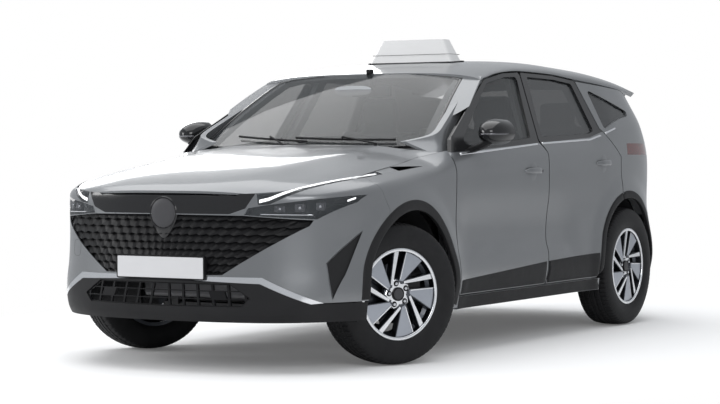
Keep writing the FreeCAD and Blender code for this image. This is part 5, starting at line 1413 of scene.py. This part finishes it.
# rear: a blank plate on its holder, lamp bars, grip, bumper skirt and reflectors
def tailSheet(name, xs, zs, rises, sunk, finish, slotName, body):
    spots = []
    for row in range(len(rises)):
        line = []
        for k, x in enumerate(xs):
            hit = tailSkin.rear(x, zs(row, k))
            line.append(hit if hit and hit[0].y > 1.2 else None)
        spots.append(line)
    if any(s for row in spots for s in row):
        sharpen(addMesh(name, *laid(spots, rises, sunk), finish, body, slotName), 40)


rearPlate = {"halfWide": 0.260, "low": 0.700, "high": 0.812}
hit = tailSkin.rear(0.0, 0.756)
if hit:
    y = max(tailSkin.rear(x, z)[0].y for x in (-0.24, 0, 0.24) for z in (0.71, 0.80) if tailSkin.rear(x, z))
    half, low, high = rearPlate["halfWide"], rearPlate["low"], rearPlate["high"]
    holder = roundedRect(half + 0.006, low - 0.006, high + 0.006, 0.010)
    board = roundedRect(half, low, high, 0.007)

    def onPlate(a, b, lift):
        return Vector((a, y + lift, b))

    sharpen(addMesh("rear_plate_holder", *padOn(onPlate, holder, -0.012, 0.002, 0.001), "black", "tailgate",
                    "black_trim"), 30)
    sharpen(addMesh("rear_plate", *padOn(onPlate, board, 0.000, 0.0042, 0.0006), "plate", "tailgate",
                    "sign_plastic"), 30)

# bars on the tailgate's lamps, its grip, the bumper's skirt and the reflectors
for word, sign in sides:
    xs = [sign * (0.36 + 0.20 * k / 20) for k in range(21)]
    tailSheet("tail_bar_gate_" + word, xs, lambda row, k: 1.060 + 0.016 * (row / 3 - 0.5),
              [0.0, 0.003, 0.003, 0.0], 0.002, "redLens", "tail_lens", "tailgate")
xs = [-0.30 + 0.60 * k / 24 for k in range(25)]
tailSheet("tailgate_grip", xs, lambda row, k: 0.856 + 0.022 * (row / 3 - 0.5),
          [0.0, 0.0045, 0.0045, 0.0], 0.002, "gloss", "gloss_black", "tailgate")
xs = [-0.60 + 1.20 * k / 40 for k in range(41)]
tailSheet("rear_bumper_skirt", xs, lambda row, k: 0.375 + 0.120 * (row / 4 - 0.5),
          [0.0, 0.006, 0.008, 0.006, 0.0], 0.002, "black", "black_trim", "car_body")
reflector = {"z": 0.52, "tall": 0.030}
for word, sign in sides:
    xs = [sign * (0.52 + 0.15 * k / 14) for k in range(15)]
    tailSheet("rear_reflector_" + word, xs,
              lambda row, k: reflector["z"] + reflector["tall"] * (row / 3 - 0.5),
              [0.0, 0.003, 0.003, 0.0], 0.002, "redLens", "tail_lens", "car_body")
print("rear")

# fuel flap: a fine dark line round a rounded square on the right quarter panel
flap = {"y": 1.36, "z": 0.93, "half": 0.080, "radius": 0.022, "thick": 0.0028}
outline = roundedRect(flap["half"], -flap["half"] * 0.9, flap["half"] * 0.9, flap["radius"], 6)
path = []
ups = []
for a, b in outline:
    hit = sideSkin["right"].side("right", flap["y"] + a, flap["z"] + b)
    if hit:
        path.append(hit[0])
        ups.append(hit[1])
if len(path) > 10:
    points, faces = sweep(path, roundBar(flap["thick"], 0.0008, 8), True, ups)
    addMesh("fuel_flap_line", points, faces, "black", "car_body", "black_trim")

# roof sign: a dark gasket at its foot and a seam round its lower part
signPart = {"foot": (0.283, 0.075), "top": (0.205, 0.048), "y": 0.330, "high": 1.705}
roofCaster = Caster("roof_panel")


def signRing(level, out):
    # a ring round the sign at one height, standing out from its skin
    share = (level - 1.585) / (signPart["high"] - 1.585)
    halfX = signPart["foot"][0] + (signPart["top"][0] - signPart["foot"][0]) * share + out
    halfY = signPart["foot"][1] + (signPart["top"][1] - signPart["foot"][1]) * share + out
    return [Vector((x, signPart["y"] + y, level)) for x, y in roundedRect(halfX, -halfY, halfY, 0.025, 6)]


ring = signRing(1.585, 0.001)
path = []
for place in ring:
    hit = roofCaster.above(place.x, place.y)
    path.append(Vector((place.x, place.y, (hit[0].z if hit else 1.585) + 0.003)))
points, faces = sweep(path, roundBar(0.010, 0.007, 10), True)
addMesh("sign_gasket", points, faces, "black", "car_body", "black_trim")
path = signRing(1.618, 0.0004)
points, faces = sweep(path, roundBar(0.0016, 0.0022, 6), True)
addMesh("sign_seam", points, faces, "satin", "car_body", "black_trim")
print("roof sign")

# weather strips: a dark seal down each side of the windscreen
screenSkin = Caster("windscreen")
for word, sign in sides:
    path = []
    ups = []
    for k in range(25):
        share = k / 24
        z = 1.115 + (1.520 - 1.115) * share
        lo, hi = 0.0, 0.85
        for _ in range(18):
            mid = (lo + hi) / 2
            hit = screenSkin.tree.ray_cast(Vector((sign * mid, -3, z)), Vector((0, 1, 0)))
            if hit[0]:
                lo = mid
            else:
                hi = mid
        hit = screenSkin.tree.ray_cast(Vector((sign * max(lo - 0.006, 0), -3, z)), Vector((0, 1, 0)))
        if hit[0]:
            path.append(hit[0])
            ups.append(hit[1] if hit[1].y < 0 else -hit[1])
    if len(path) > 5:
        points, faces = sweep(path, roundBar(0.016, 0.003, 8), False, ups)
        addMesh("screen_seal_" + word, points, faces, "gloss", "car_body", "gloss_black")
print("seals")
